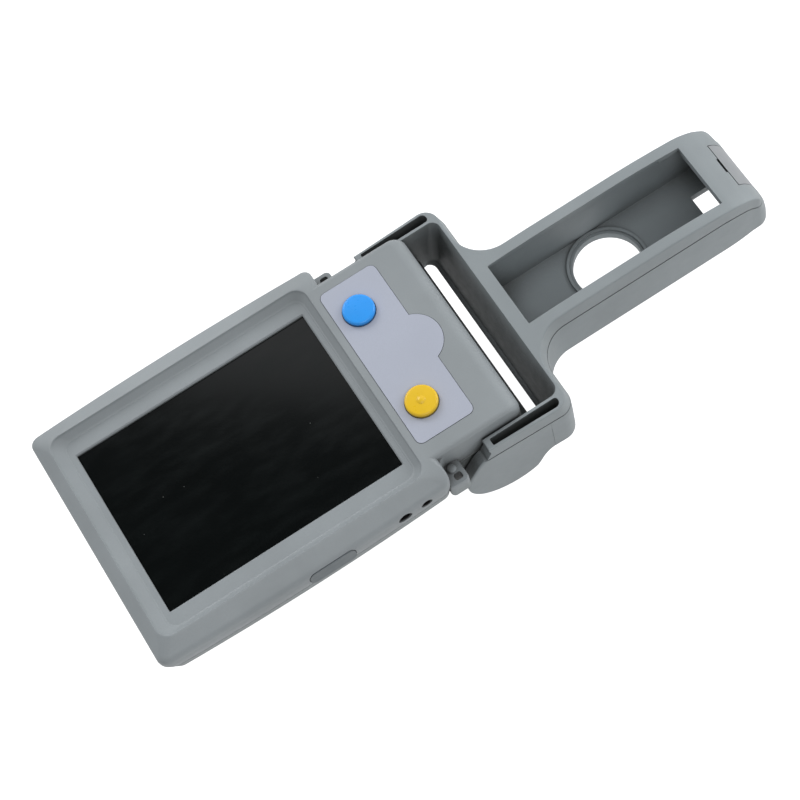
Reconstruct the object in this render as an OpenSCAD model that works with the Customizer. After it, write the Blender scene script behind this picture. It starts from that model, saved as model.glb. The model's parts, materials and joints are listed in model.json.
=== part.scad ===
// Handheld viewer: a screen body with a neck, and a forked handle that folds flat under it.
// X runs from the screen end to the handle end, Y across, +Z out of the screen.
// The origin is on the flat back face, under the centre of the screen.

/* [Screen body] */
// Width of the visible screen
screen_w = 70; // [68:0.5:71]
// Height of the visible screen
screen_h = 51.2; // [48:0.2:52]
// Length of the screen body
body_len = 87; // [86:0.5:88]
// Width of the screen body at its middle
body_w = 75.4; // [75:0.1:76]
// Height of the flat frame round the screen
frame_z = 16.5; // [16.2:0.1:16.8]
// Height of the raised rim and of the neck
rim_z = 18.9; // [18.7:0.1:19.2]
// Height of the joint between the front and rear housings
split_z = 7.2; // [7:0.1:7.6]
// Width of the neck
neck_w = 60; // [59:0.2:60.4]
// Where the neck ends
neck_end = 68.7; // [68:0.1:69]

/* [Buttons] */
// Radius of the round buttons
key_r = 4.45; // [4:0.05:4.6]
// Distance of the blue button from the middle
blue_y = 16.5; // [15:0.1:18]
// Distance of the yellow button from the middle
yellow_y = 15; // [14:0.1:17]
// Length of the power button
power_len = 13.6; // [12:0.1:14]

/* [Hinge] */
// Distance of the fold axis from the screen centre
axis_x = 60.3; // [60:0.1:60.6]
// Height of the fold axis
axis_z = -4.3; // [-4.4:0.05:-4.2]
// Radius of the hinge lobes
lobe_r = 12.7; // [12.2:0.1:12.9]
// Radius of the neck barrel
barrel_r = 11.6; // [11:0.1:11.8]
// Radius of the hinge pins
pin_r = 2.95; // [2.9:0.01:2.96]

/* [Handle] */
// Half width of the grip
grip_hw = 13.7; // [13.2:0.1:14]
// Height of the handle's window face
grip_top = 14.2; // [14:0.1:14.4]
// Height of the handle's flat underside
grip_bottom = -8.2; // [-8.3:0.05:-8.1]
// Where the handle ends
grip_end = 158.6; // [158:0.1:159]
// Diameter of the lens hole in the grip
lens_hole_d = 19.5; // [18:0.5:20]
// Swing of the release tab, in degrees
tab_swing = 2.4; // [1.6:0.2:2.4]

/* [Hidden] */
$fn = 48;
wall = 1.8;

// Screen body outline
body_x0 = 43 - body_len;
body_x1 = 43;
body_mid = (body_x0 + body_x1) / 2;
body_hw = body_w / 2;
bow = 1;
corner_r = 3;
rim_hw = 32.5;
rim_x0 = -40.4;
rim_x1 = 38.7;
frame_hw = 30.5;
frame_hl = 37;
inner_x0 = -42.2;
inner_x1 = 41.2;
inner_hw = 34.9;
lip = 1;
floor_t = 1.8;
neck_hw = neck_w / 2;
cavity_hw_neck = neck_hw - wall - 0.2;
seat_x1 = 48.6;
seat_step = 0.4;
eyelet_z0 = 3.8;
eyelet_z1 = 10;
eyelet_x1 = 48.1;
eyelet_hw = 36.3;
post_x = 45.3;
post_y = 31.5;
post_r = 1.3;
post_z1 = 10.9;

// Layers inside the body, from the back
board_z = 8.6;
board_t = 1.2;
board_top = board_z + board_t;
lcd_z = 11.2;
lcd_t = 3.2;
panel_hl = 36.9;
panel_y0 = -27.9;
panel_y1 = 28.9;
window_t = 1;
glass_hl = 36.8;
glass_hw = 27.4;
key_board_z = 12;
key_board_top = key_board_z + board_t;
camera_x = 2 * axis_x - 113.9;
camera_board_z = 6.4;
lamp_y = 7.9;
lamp_r = 1.5;

// Jacks in the long side
jack_z = 13.4;
charge_x = 28.2;
charge_r = 1.6;
video_x = 34.8;
video_r = 1.25;
charge_nose_r = 1.95;
video_nose_r = 1.6;
nose_y = -36.9;
socket_y = -30.4;

// Power button
power_x = 6.1;
power_z0 = 9.9;
power_z1 = 15.6;
power_r = 1.8;

// Button plate and buttons
plate_x0 = 41;
plate_x1 = 58.1;
plate_y0 = -24.9;
plate_y1 = 26.4;
plate_r = 1.8;
plate_t = 0.6;
plate_pocket = 0.5;
tab_bulge_x = 55.4;
tab_bulge_y = 0.7;
tab_bulge_r = 7.7;
key_x = 47.9;
key_top = 20.5;
key_gap = 0.15;
neck_ceiling = 17.1;

// Screws that hold the body together
body_screws = [
    for (x = [-39.2, 38.8]) for (s = [-1, 1]) [x, s * 31.9],
    for (s = [-1, 1]) [46.4, s * 25.4]
];
screw_r = 1;
screw_head_r = 1.9;
screw_head_h = 1.2;
screw_sink = 0.6;
front_boss_r = 1.9;
rear_boss_r = 3;
board_posts = [for (x = [-33, 33]) for (y = [-26, 26]) [x, y]];
key_posts = [for (x = [44.2, 60]) for (s = [-1, 1]) [x, s * (x < 50 ? 8 : 19)]];

// Hinge bushes in the barrel's ends
bush_r = 4.45;
bush_y = 22.4;

// Yoke and arms
arm_in = 30.6;
arm_out = 34.7;
arm_top = 13.1;
arm_x0 = 55.5;
yoke_x1 = 81;
yoke_top = 13.5;
fork_top_x = 79.5;
fork_top_z = 13.35;
fork_bottom_x = 75.3;
slot_in = 31.3;
slot_out = 33.6;
slot_x0 = 57;
slot_x1 = 77.5;
shell_split = 8;

// Grip
window_x0 = 83.4;
window_x1 = 144.4;
window_hw = 10.2;
cavity_hw = 11.5;
cavity_x1 = 151.5;
lid_t = 1.8;
floor_top = -5.5;
lens_hole_x = 113.9;
catch_x = 147.9;
catch_hw = 4.2;
tab_hw = 7.2;
tab_x0 = 151.9;
tab_axis_x = 153.4;
tab_axis_z = 7;
tab_lift = 0.4;
tab_play = 0.15;
hook_x = 150.75;
hook_z0 = floor_top + tab_lift;
hook_z1 = -3.4;
hook_bite = (tab_axis_z - hook_z1) * sin(tab_swing) - 0.08;
rib_x = 150.3;
spring_z = 0.4;
fillet_r = 9;
grip_screw_len = 14;
grip_screws = [
    for (s = [-1, 1]) [80.4, s * 10, -4.2],
    for (s = [-1, 1]) [153.6, s * 10.2, grip_bottom + screw_sink]
];

// ---- Outline helpers ----

// Points along an arc, from angle a0 to a1
function arc(cx, cy, r, a0, a1, n = 8) =
    [for (i = [0:n]) let (a = a0 + (a1 - a0) * i / n) [cx + r * cos(a), cy + r * sin(a)]];

// A rectangle with rounded corners
function round_rect(x0, x1, y0, y1, r, n = 6) = concat(
    arc(x1 - r, y1 - r, r, 0, 90, n), arc(x0 + r, y1 - r, r, 90, 180, n),
    arc(x0 + r, y0 + r, r, 180, 270, n), arc(x1 - r, y0 + r, r, 270, 360, n));

// Half of an outline in y > 0, completed by its mirror image
function both_sides(pts) =
    concat(pts, [for (i = [len(pts) - 1:-1:0]) [pts[i][0], -pts[i][1]]]);

// The same for a cross section, whose first coordinate is mirrored
function both_flanks(pts) =
    concat(pts, [for (i = [len(pts) - 1:-1:0]) [-pts[i][0], pts[i][1]]]);

// Upright solid from a plan outline
module plan(pts, z0, z1) {
    translate([0, 0, z0]) linear_extrude(z1 - z0) polygon(pts);
}

// Solid from a side profile in X and Z
module profile(pts, hw) {
    translate([0, hw, 0]) rotate([90, 0, 0]) linear_extrude(2 * hw) polygon(pts);
}

// Solid from a cross section in Y and Z
module section(pts, x0, x1) {
    translate([x0, 0, 0]) rotate([90, 0, 90]) linear_extrude(x1 - x0) polygon(pts);
}

module block(x0, x1, y0, y1, z0, z1) {
    translate([x0, y0, z0]) cube([x1 - x0, y1 - y0, z1 - z0]);
}

// Cylinder along Y, from y0 to y1
module y_rod(x, z, r, y0, y1) {
    translate([x, y1, z]) rotate([90, 0, 0]) cylinder(h = y1 - y0, r = r);
}

module z_rod(x, y, r, z0, z1) {
    translate([x, y, z0]) cylinder(h = z1 - z0, r = r);
}

module both_y() {
    children();
    mirror([0, 1, 0]) children();
}

// ---- Screen body ----

// Half width of the gently bowed long sides
function bowed(x) = body_hw - bow * pow(2 * (x - body_mid) / body_len, 2);

body_half_plan = concat(
    arc(body_x1 - corner_r, body_hw - bow - corner_r, corner_r, 0, 90, 6),
    [for (i = [1:11]) let (x = body_x1 - corner_r - (body_len - 2 * corner_r) * i / 12) [x, bowed(x)]],
    arc(body_x0 + corner_r, body_hw - bow - corner_r, corner_r, 90, 180, 6));

body_half_section = [
    [body_hw - 4.3, 0], [body_hw - 2.7, 1.3], [body_hw, 12.5], [body_hw, 15.1],
    [body_hw - 0.4, 16], [body_hw - 1.3, 16.8], [rim_hw, rim_z]
];

body_profile = [
    [body_x0 + 3.6, 0], [body_x0 + 2, 1.3], [body_x0, 12.5], [body_x0, 15.3], [body_x0 + 0.4, 16.2],
    [body_x0 + 1.2, 16.9], [rim_x0, rim_z], [body_x1 - 2, rim_z], [body_x1 - 0.5, rim_z - 0.6],
    [body_x1, rim_z - 2], [body_x1, 1.2], [body_x1 - 1.2, 0]
];

module body_solid() {
    intersection() {
        plan(both_sides(body_half_plan), 0, rim_z);
        section(both_flanks(body_half_section), body_x0, body_x1);
        profile(body_profile, body_hw + 1);
    }
}

// Side profile of the neck: rolled end, then the hinge barrel below.
// A shallow step keeps the flat back face clear of the barrel.
neck_roll = 4;
neck_corner = 0.8;
barrel_start = acos((neck_end - axis_x) / barrel_r);
barrel_stop = -180 - asin((seat_step - axis_z) / barrel_r);
neck_profile = concat(
    [[body_x1 - 5, 0], [body_x1 - 5, rim_z]],
    arc(neck_end - neck_roll, rim_z - neck_roll, neck_roll, 90, 0, 10),
    arc(axis_x, axis_z, barrel_r, barrel_start, barrel_stop, 40),
    [[seat_x1, seat_step], [seat_x1, 0]]);

module neck_solid() {
    intersection() {
        profile(neck_profile, neck_hw);
        plan(round_rect(body_x1 - 6, axis_x + barrel_r + 3, -neck_hw, neck_hw, neck_corner, 4),
            axis_z - 15, rim_z + 1);
    }
}

// Strap eyelet and post in the notch beside the neck
module eyelet(z0, z1) {
    both_y() difference() {
        plan(round_rect(body_x1 - 1, eyelet_x1, neck_hw - 1, eyelet_hw, 1, 5), z0, z1);
        plan(round_rect(44.6, eyelet_x1 - 1.2, 33.1, eyelet_hw - 1.2, 0.6, 4), z0 - 1, z1 + 1);
    }
}

module eyelet_post() {
    both_y() z_rod(post_x, post_y, post_r, eyelet_z1 - 1, post_z1);
}

// The screen recess: sloping sides down to a flat frame
module screen_recess() {
    rise = rim_z + 1;
    ratio_y = (rim_hw - frame_hw) / (rim_z - frame_z);
    ratio_x0 = (-frame_hl - rim_x0) / (rim_z - frame_z);
    ratio_x1 = (rim_x1 - frame_hl) / (rim_z - frame_z);
    up = rise - frame_z;
    intersection() {
        section(both_flanks([[frame_hw, frame_z], [frame_hw + ratio_y * up, rise]]),
            rim_x0 - 2, rim_x1 + 2);
        profile([
            [-frame_hl, frame_z], [frame_hl, frame_z],
            [frame_hl + ratio_x1 * up, rise], [-frame_hl - ratio_x0 * up, rise]
        ], rim_hw + 2);
    }
}

// Outline of the pale plate under the round buttons
module plate_shape(grow, z0, z1) {
    plan(round_rect(plate_x0 - grow, plate_x1 + grow, plate_y0 - grow, plate_y1 + grow, plate_r, 5),
        z0, z1);
    z_rod(tab_bulge_x, tab_bulge_y, tab_bulge_r + grow, z0, z1);
}

// Room for the power button, and for its flange behind the wall
module power_slot() {
    hole = round_rect(
        power_x - power_len / 2 - key_gap, power_x + power_len / 2 + key_gap,
        power_z0 - key_gap, power_z1 + key_gap, power_r + 0.1, 5);
    translate([0, -30, 0]) rotate([90, 0, 0]) linear_extrude(12) polygon(hole);
}

module front_cavity() {
    plan(round_rect(inner_x0, inner_x1, -inner_hw, inner_hw, 2, 4), split_z - 1, frame_z - lip);
    plan(round_rect(40, neck_end - wall, -cavity_hw_neck, cavity_hw_neck, 1.5, 4), split_z - 1, neck_ceiling);
}

module front_housing() {
    color([0.57, 0.6, 0.61])
    difference() {
        union() {
            difference() {
                union() {
                    body_solid();
                    neck_solid();
                }
                block(-80, 90, -50, 50, -40, split_z);
                front_cavity();
            }
            eyelet(split_z, eyelet_z1);
            eyelet_post();
            for (p = body_screws) {
                ceiling = p[0] > inner_x1 ? neck_ceiling : frame_z - lip;
                z_rod(p[0], p[1], front_boss_r, split_z, ceiling + 0.2);
            }
            for (p = key_posts) z_rod(p[0], p[1], 1.2, key_board_top, neck_ceiling + 0.2);
        }
        screen_recess();
        block(-screen_w / 2, screen_w / 2, -screen_h / 2, screen_h / 2, frame_z - lip - 1, rim_z + 1);
        plate_shape(0.1, rim_z - plate_pocket, rim_z + 1);
        for (y = [blue_y, -yellow_y]) z_rod(key_x, y, key_r + key_gap, 15, 20);
        power_slot();
        y_rod(charge_x, jack_z, charge_nose_r + 0.05, -body_hw - 2, -30);
        y_rod(video_x, jack_z, video_nose_r + 0.05, -body_hw - 2, -30);
        for (p = body_screws) z_rod(p[0], p[1], screw_r + 0.05, split_z - 1, 14);
    }
}

// Lug that snaps into the handle's catch when it is folded
lug_x = 2 * axis_x - catch_x;
lug_tip = 2 * axis_x - hook_x - hook_bite;
lug_hw = 3.2;
lug_z = -6;
module catch_lug() {
    block(lug_x - 2.6, lug_x + 3, -lug_hw, lug_hw, lug_z, floor_t);
    profile([
        [lug_x - 2.5, lug_z + 0.6], [lug_tip, lug_z + 0.5], [lug_tip + 0.3, lug_z], [lug_x - 2.5, lug_z]
    ], lug_hw);
}

module rear_cavity() {
    plan(round_rect(inner_x0 + 1.8, inner_x1, 1.6 - inner_hw, inner_hw - 1.6, 2, 4), floor_t, split_z + 1);
    plan(round_rect(40, neck_end - wall, -cavity_hw_neck, cavity_hw_neck, 1.5, 4), floor_t, split_z + 1);
    y_rod(axis_x, axis_z, barrel_r - wall, -bush_y, bush_y);
}

module rear_housing() {
    color([0.55, 0.58, 0.58])
    difference() {
        union() {
            difference() {
                union() {
                    body_solid();
                    neck_solid();
                }
                block(-80, 90, -50, 50, split_z, 40);
                rear_cavity();
            }
            eyelet(eyelet_z0, split_z);
            for (p = body_screws) z_rod(p[0], p[1], rear_boss_r, 1, split_z);
            for (p = board_posts) z_rod(p[0], p[1], 1.6, 1, board_z);
            catch_lug();
        }
        both_y() y_rod(axis_x, axis_z, bush_r + 0.05, 20, neck_hw + 1);
        for (p = body_screws) {
            z_rod(p[0], p[1], screw_r + 0.15, -1, split_z + 1);
            z_rod(p[0], p[1], screw_head_r + 0.15, -1, screw_sink + screw_head_h);
        }
        z_rod(camera_x, 0, 5.7, -1, 1.2);
        z_rod(camera_x, 0, 4.6, -1, floor_t + 1);
        both_y() z_rod(camera_x, lamp_y, lamp_r + 0.1, -1, floor_t + 1);
    }
}

module screen_window() {
    color([0.05, 0.06, 0.06])
    plan(round_rect(-glass_hl, glass_hl, -glass_hw, glass_hw, 1, 4), frame_z - lip - window_t, frame_z - lip);
}

module lcd_panel() {
    color([0.1, 0.12, 0.14])
    block(-panel_hl, panel_hl, panel_y0, panel_y1, lcd_z + 0.6, frame_z - lip - window_t);
}

module lcd_frame() {
    color("silver")
    difference() {
        block(-panel_hl - 0.7, panel_hl + 0.7, panel_y0 - 0.7, panel_y1 + 0.7, lcd_z, lcd_z + lcd_t - 0.2);
        block(-panel_hl - 0.05, panel_hl + 0.05, panel_y0 - 0.05, panel_y1 + 0.05, lcd_z + 0.6, rim_z);
    }
}

module button_plate() {
    color([0.68, 0.71, 0.76])
    difference() {
        plate_shape(0, rim_z - plate_pocket, rim_z - plate_pocket + plate_t);
        for (y = [blue_y, -yellow_y]) z_rod(key_x, y, key_r + key_gap, 15, 20);
    }
}

// Round push button: cap with a rounded edge, and a flange that keeps it in
module round_key(y, raised) {
    edge = 0.7;
    flange_z = 15.9;
    translate([key_x, y, 0]) {
        rotate_extrude() polygon(concat(
            [[0, flange_z], [key_r + 0.8, flange_z]],
            [[key_r + 0.8, neck_ceiling - 0.1], [key_r, neck_ceiling - 0.1]],
            arc(key_r - edge, key_top - edge, edge, 0, 90, 6),
            [[0, key_top]]));
        if (raised) rotate_extrude()
            polygon(concat([[0, key_top - 0.2]], arc(0, key_top - 1.5, 1.9, 36, 90, 6)));
    }
}

module blue_button() {
    color([0.24, 0.67, 1]) round_key(blue_y, false);
}

module yellow_button() {
    color([0.94, 0.78, 0.2]) round_key(-yellow_y, true);
}

// Rubber dome between a button and the key board
module key_dome(y) {
    base_z = key_board_top;
    translate([key_x, y, 0]) difference() {
        union() {
            translate([0, 0, base_z]) cylinder(h = 0.6, r = 4.4);
            translate([0, 0, base_z + 0.6]) cylinder(h = 1, r1 = 3.6, r2 = 2.4);
            translate([0, 0, base_z + 1.6]) cylinder(h = 1.1, r = 2.2);
        }
        translate([0, 0, base_z - 1]) cylinder(h = 2.2, r = 1.8);
    }
}

module blue_dome() {
    color([0.8, 0.8, 0.78]) key_dome(blue_y);
}

module yellow_dome() {
    color([0.8, 0.8, 0.78]) key_dome(-yellow_y);
}

module key_board() {
    color("darkgreen") block(42.6, 62, -22.6, 22.6, key_board_z, key_board_top);
}

module key_ribbon() {
    color("tan")
    profile([
        [34, board_top], [44, board_top], [46.5, key_board_z - 0.3], [50, key_board_z - 0.3],
        [50, key_board_z], [46.3, key_board_z], [43.8, board_top + 0.3], [34, board_top + 0.3]
    ], 5);
}

module main_board() {
    color("green")
    difference() {
        block(-36, 35.6, -31, 29, board_z, board_z + board_t);
        for (p = board_posts) z_rod(p[0], p[1], 0.9, board_z - 1, board_z + 3);
    }
}

module board_chips() {
    color([0.15, 0.15, 0.16]) {
        block(-8, 4, -9, 3, board_top, board_top + 1);
        block(10, 18, 8, 18, board_top, board_top + 0.9);
        block(-28, -20, -6, 6, board_top, board_top + 1.1);
        block(20, 26, -14, -8, board_top, board_top + 1);
    }
}

module lcd_ribbon() {
    color([0.75, 0.5, 0.2])
    profile([
        [-34, board_z - 0.2], [-38.6, board_z - 0.2], [-39.2, board_z + 0.6], [-39.2, lcd_z + 1.4],
        [-38.6, lcd_z + 2], [-37.7, lcd_z + 2], [-37.7, lcd_z + 1.8], [-38.5, lcd_z + 1.8],
        [-39, lcd_z + 1.3], [-39, board_z + 0.7], [-38.5, board_z], [-34, board_z]
    ], 12);
}

module battery_pack() {
    color([0.3, 0.45, 0.7]) plan(round_rect(-30, 20, 11.6, 31.2, 2, 4), 2.6, 8);
}

module battery_pad() {
    color([0.2, 0.2, 0.2]) block(-26, 14, 14, 29, floor_t, 2.6);
}

module camera_board() {
    color("darkgreen") block(camera_x - 7, camera_x + 7, -10, 10, camera_board_z, camera_board_z + 1);
}

module board_connector() {
    color("ivory") block(camera_x - 3, camera_x + 3, -8, 8, camera_board_z + 1, board_z);
}

module camera_barrel() {
    color([0.12, 0.12, 0.13])
    difference() {
        z_rod(camera_x, 0, 3.8, 2.1, camera_board_z);
        z_rod(camera_x, 0, 3, 2, 5.4);
    }
}

module camera_lens() {
    color([0.4, 0.5, 0.7])
    translate([camera_x, 0, 2.6]) rotate_extrude() polygon(concat([[0, 2.2], [2.95, 2.2], [2.95, 1.3]],
        arc(0, 4.6, 4.6, -50, -90, 8)));
}

module camera_window() {
    color([0.8, 0.85, 0.9, 0.4]) z_rod(camera_x, 0, 5.65, 0.2, 1.2);
}

module lamps() {
    color("white")
    both_y() translate([camera_x, lamp_y, 0]) rotate_extrude() polygon(concat(
        arc(0, 1.9, lamp_r, -90, 0, 6), [[lamp_r, camera_board_z], [0, camera_board_z]]));
}

// Round socket with a square base on the board
module jack(x, r, nose_r) {
    base_y0 = -34.7;
    base_y1 = -29.2;
    difference() {
        union() {
            block(x - nose_r - 0.15, x + nose_r + 0.15, base_y0, base_y1, board_top, jack_z + nose_r);
            y_rod(x, jack_z, nose_r, nose_y, base_y0 + 1);
        }
        y_rod(x, jack_z, r, nose_y - 1, socket_y);
    }
}

module charge_jack() {
    color([0.1, 0.1, 0.1]) jack(charge_x, charge_r, charge_nose_r);
}

module video_jack() {
    color([0.1, 0.1, 0.1]) jack(video_x, video_r, video_nose_r);
}

module power_button() {
    half = power_len / 2;
    flange_y = -34.05;
    color([0.44, 0.47, 0.48]) {
        translate([0, flange_y, 0]) rotate([90, 0, 0]) linear_extrude(3.85)
            polygon(round_rect(power_x - half, power_x + half, power_z0, power_z1, power_r, 5));
        block(power_x - half - 1, power_x + half + 1, -34.8, flange_y, power_z0 - 0.7, power_z1 - 0.25);
    }
}

module power_switch() {
    color([0.2, 0.2, 0.21]) {
        block(power_x - 3, power_x + 3, -32.9, -29.4, board_top, board_top + 3.4);
        block(power_x - 1.2, power_x + 1.2, -33.5, -32.9, board_z + 2.2, board_z + 4);
    }
}

// A pan-head screw that points up
module screw(z0, z1) {
    cylinder_z1 = z0 + screw_head_h;
    difference() {
        union() {
            z_rod(0, 0, screw_head_r, z0, cylinder_z1);
            z_rod(0, 0, screw_r, z0, z1);
        }
        block(-1.2, 1.2, -0.2, 0.2, z0 - 1, z0 + 0.6);
        block(-0.2, 0.2, -1.2, 1.2, z0 - 1, z0 + 0.6);
    }
}

module housing_screws() {
    color("dimgray")
    for (p = body_screws) translate([p[0], p[1], 0]) screw(screw_sink, 13);
}

// ---- Hinge ----

module hinge_bushes() {
    color("goldenrod")
    both_y() difference() {
        y_rod(axis_x, axis_z, bush_r, bush_y + 0.1, neck_hw);
        y_rod(axis_x, axis_z, pin_r + 0.05, 20, 40);
    }
}

module friction_washers() {
    color("gold")
    both_y() difference() {
        y_rod(axis_x, axis_z, 7, neck_hw + 0.05, arm_in - 0.05);
        y_rod(axis_x, axis_z, pin_r + 0.1, 20, 40);
    }
}

module hinge_pins() {
    color("silver")
    both_y() difference() {
        union() {
            y_rod(axis_x, axis_z, pin_r, 20.4, 32);
            y_rod(axis_x, axis_z, 4.6, 31.65, 32.7);
        }
        difference() {
            y_rod(axis_x, axis_z, pin_r + 1, 21.4, 22.3);
            y_rod(axis_x, axis_z, pin_r - 0.6, 21, 23);
        }
    }
}

// Split rings in the grooves of the pins
module pin_clips() {
    color("gray")
    both_y() difference() {
        y_rod(axis_x, axis_z, 4.6, 21.45, 22.25);
        y_rod(axis_x, axis_z, pin_r - 0.55, 20, 40);
        block(axis_x - 1.2, axis_x + 1.2, 20, 40, axis_z, axis_z + 8);
    }
}

// ---- Handle ----

// Side profile of the arms: square upper end, round hinge lobe, rounded foot
arm_profile = concat(
    [[yoke_x1, yoke_top], [77, arm_top], [arm_x0, arm_top], [55.9, 10.6], [54.9, 9], [53, 7.4], [51.4, 5.6]],
    arc(axis_x, axis_z, lobe_r, 140, 308, 36),
    [[69.3, -12.1], [70.6, -9.9], [72.4, -8.6], [74.5, grip_bottom], [yoke_x1, grip_bottom]]);

arm_half_section = [
    [arm_out - 0.3, grip_top], [arm_out, shell_split], [arm_out, -9], [arm_out - 0.5, -18],
    [arm_in, -18], [arm_in, grip_top]
];

yoke_half_plan = concat(
    [[arm_x0 - 12, 0], [arm_x0 - 12, arm_out - 0.4]],
    arc(yoke_x1 - 4.5, arm_out - 4.5, 4.5, 90, 0, 8),
    [[yoke_x1, 0]]);

module arms() {
    intersection() {
        profile(arm_profile, arm_out + 1);
        both_y() section(arm_half_section, 40, yoke_x1);
        plan(both_sides(yoke_half_plan), -30, 20);
    }
}

// Wedge-shaped wall that joins the two arms
module cross_wall() {
    profile([
        [fork_bottom_x, grip_bottom], [yoke_x1, grip_bottom], [yoke_x1, yoke_top], [fork_top_x, fork_top_z],
        [fork_bottom_x + 1, -6.8], [fork_bottom_x, -7.6]
    ], arm_in + 0.2);
}

// Plan of the grip, with hollow corners where it meets the yoke
grip_half_plan = concat(
    [[fork_top_x, 0], [fork_top_x, grip_hw + fillet_r]],
    arc(yoke_x1 + fillet_r, grip_hw + fillet_r, fillet_r, 180, 270, 10),
    [[144, grip_hw], [148, grip_hw - 0.15], [152.2, grip_hw - 0.7]],
    arc(grip_end - 4.2, grip_hw - 4.9, 4.2, 80, 0, 7),
    [[grip_end, 0]]);

// Side profile of the grip, with its drooping end
grip_profile = [
    [fork_top_x - 1, grip_bottom], [fork_top_x - 1, 13.25], [yoke_x1, yoke_top], [84, 13.8], [98, grip_top],
    [126, grip_top], [137, 13.7], [143.5, 13], [147, 12.3], [150.5, 10.9], [153.5, 8.9], [155.5, 6.3],
    [156.9, 3], [158, -1.5], [grip_end, -5.2], [grip_end - 0.3, -7.3], [grip_end - 1.5, grip_bottom]
];

module grip_solid() {
    intersection() {
        plan(both_sides(grip_half_plan), -20, 20);
        profile(grip_profile, grip_hw + fillet_r);
    }
}

// Joint between the two handle shells; it falls towards the grip's end
module above_shell_split() {
    profile([
        [40, shell_split], [143, shell_split], [150, 6.4], [154, 3.8], [165, 1.5], [165, 30], [40, 30]
    ], 50);
}

module grip_cavity() {
    block(window_x0 - 0.4, cavity_x1, -cavity_hw, cavity_hw, floor_top, shell_split);
    block(window_x0 - 0.4, 138, -cavity_hw, cavity_hw, shell_split - 1, grip_top - lid_t);
    block(137, 144.5, -cavity_hw, cavity_hw, shell_split - 1, 11.4);
    block(144, 149.5, -cavity_hw, cavity_hw, shell_split - 1, 9.9);
}

// Room for the release tab, its hook and its pin
module tab_room() {
    half = tab_hw + tab_play;
    block(tab_x0 - 0.2, grip_end + 1, -half, half, floor_top, 20);
    block(hook_x - 0.25, tab_x0 + 1, -half, half, floor_top, 5.6);
    block(tab_x0 - 0.7, tab_x0, -2.4, 2.4, 5, 20);
    y_rod(tab_axis_x, tab_axis_z, 0.9, -9, 9);
}

module arm_hollows() {
    both_y() {
        plan(round_rect(slot_x0, slot_x1, slot_in, slot_out, 0.9, 4), -2, 20);
        y_rod(axis_x, axis_z, 9.5, 31.6, 33);
        plan(round_rect(slot_x0, 70, 31.6, 33, 0.5, 3), axis_z, 0);
    }
}

module handle_solid() {
    union() {
        arms();
        cross_wall();
        grip_solid();
    }
}

module handle_front_shell() {
    color([0.58, 0.61, 0.62])
    difference() {
        union() {
            difference() {
                intersection() {
                    handle_solid();
                    above_shell_split();
                }
                grip_cavity();
                arm_hollows();
            }
            block(rib_x - 1.2, rib_x, -3.4, 3.4, -1.6, 10.2);
        }
        block(window_x0, window_x1, -window_hw, window_hw, 10, 20);
        tab_room();
        for (p = grip_screws) z_rod(p[0], p[1], screw_r + 0.05, 0, p[2] + grip_screw_len + 0.4);
    }
}

module handle_rear_shell() {
    color([0.56, 0.59, 0.6])
    difference() {
        union() {
            difference() {
                handle_solid();
                above_shell_split();
                grip_cavity();
                arm_hollows();
                tab_room();
            }
            difference() {
                z_rod(lens_hole_x, 0, cavity_hw, floor_top - 1, floor_top + 0.6);
                z_rod(lens_hole_x, 0, lens_hole_d / 2 + 0.9, -20, 0);
            }
        }
        z_rod(lens_hole_x, 0, lens_hole_d / 2, -20, 0);
        block(catch_x - catch_hw, catch_x + catch_hw, -catch_hw, catch_hw, -20, 0);
        both_y() y_rod(axis_x, axis_z, pin_r + 0.05, 25, 32);
        for (p = grip_screws) {
            z_rod(p[0], p[1], screw_r + 0.15, -20, 20);
            z_rod(p[0], p[1], screw_head_r + 0.15, -20, p[2] + screw_head_h);
        }
    }
}

module handle_screws() {
    color("dimgray")
    for (p = grip_screws) translate([p[0], p[1], 0]) screw(p[2], p[2] + grip_screw_len);
}

// Rocking tab at the grip's end, with the hook that holds the lug
module release_tab() {
    color([0.62, 0.64, 0.65]) {
        difference() {
            intersection() {
                block(tab_x0, grip_end, -tab_hw, tab_hw, hook_z0, 20);
                profile(grip_profile, tab_hw);
            }
            block(tab_x0 - 1, tab_x0 + 3.4, 1.6 - tab_hw, tab_hw - 1.6, -3.2, 4.6);
        }
        y_rod(tab_axis_x, tab_axis_z, 0.85, -8.8, 8.8);
        profile([
            [hook_x, hook_z1], [hook_x, hook_z1 - 0.6], [hook_x + 0.8, hook_z0],
            [tab_x0 + 1, hook_z0], [tab_x0 + 1, hook_z1]
        ], 3);
    }
}

// Spring that draws the tab towards the rib in the grip
module release_spring() {
    turns = 5;
    wire_r = 0.25;
    pitch = (tab_x0 + 3.4 - rib_x - 2 * wire_r) / (turns - 1);
    color("silver")
    for (i = [0:turns - 1]) translate([rib_x + wire_r + i * pitch, 0, spring_z]) rotate([0, 90, 0])
        rotate_extrude() translate([1.3, 0]) circle(r = wire_r, $fn = 16);
}

front_housing();
rear_housing();
screen_window();
lcd_panel();
lcd_frame();
button_plate();
blue_button();
yellow_button();
blue_dome();
yellow_dome();
key_board();
key_ribbon();
main_board();
board_chips();
lcd_ribbon();
battery_pack();
battery_pad();
camera_board();
camera_barrel();
camera_lens();
camera_window();
lamps();
board_connector();
charge_jack();
video_jack();
power_button();
power_switch();
housing_screws();
hinge_bushes();
friction_washers();
hinge_pins();
pin_clips();
handle_front_shell();
handle_rear_shell();
handle_screws();
release_tab();
release_spring();
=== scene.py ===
import json
import math

import bmesh
import bpy
from mathutils import Euler, Matrix, Vector


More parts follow.
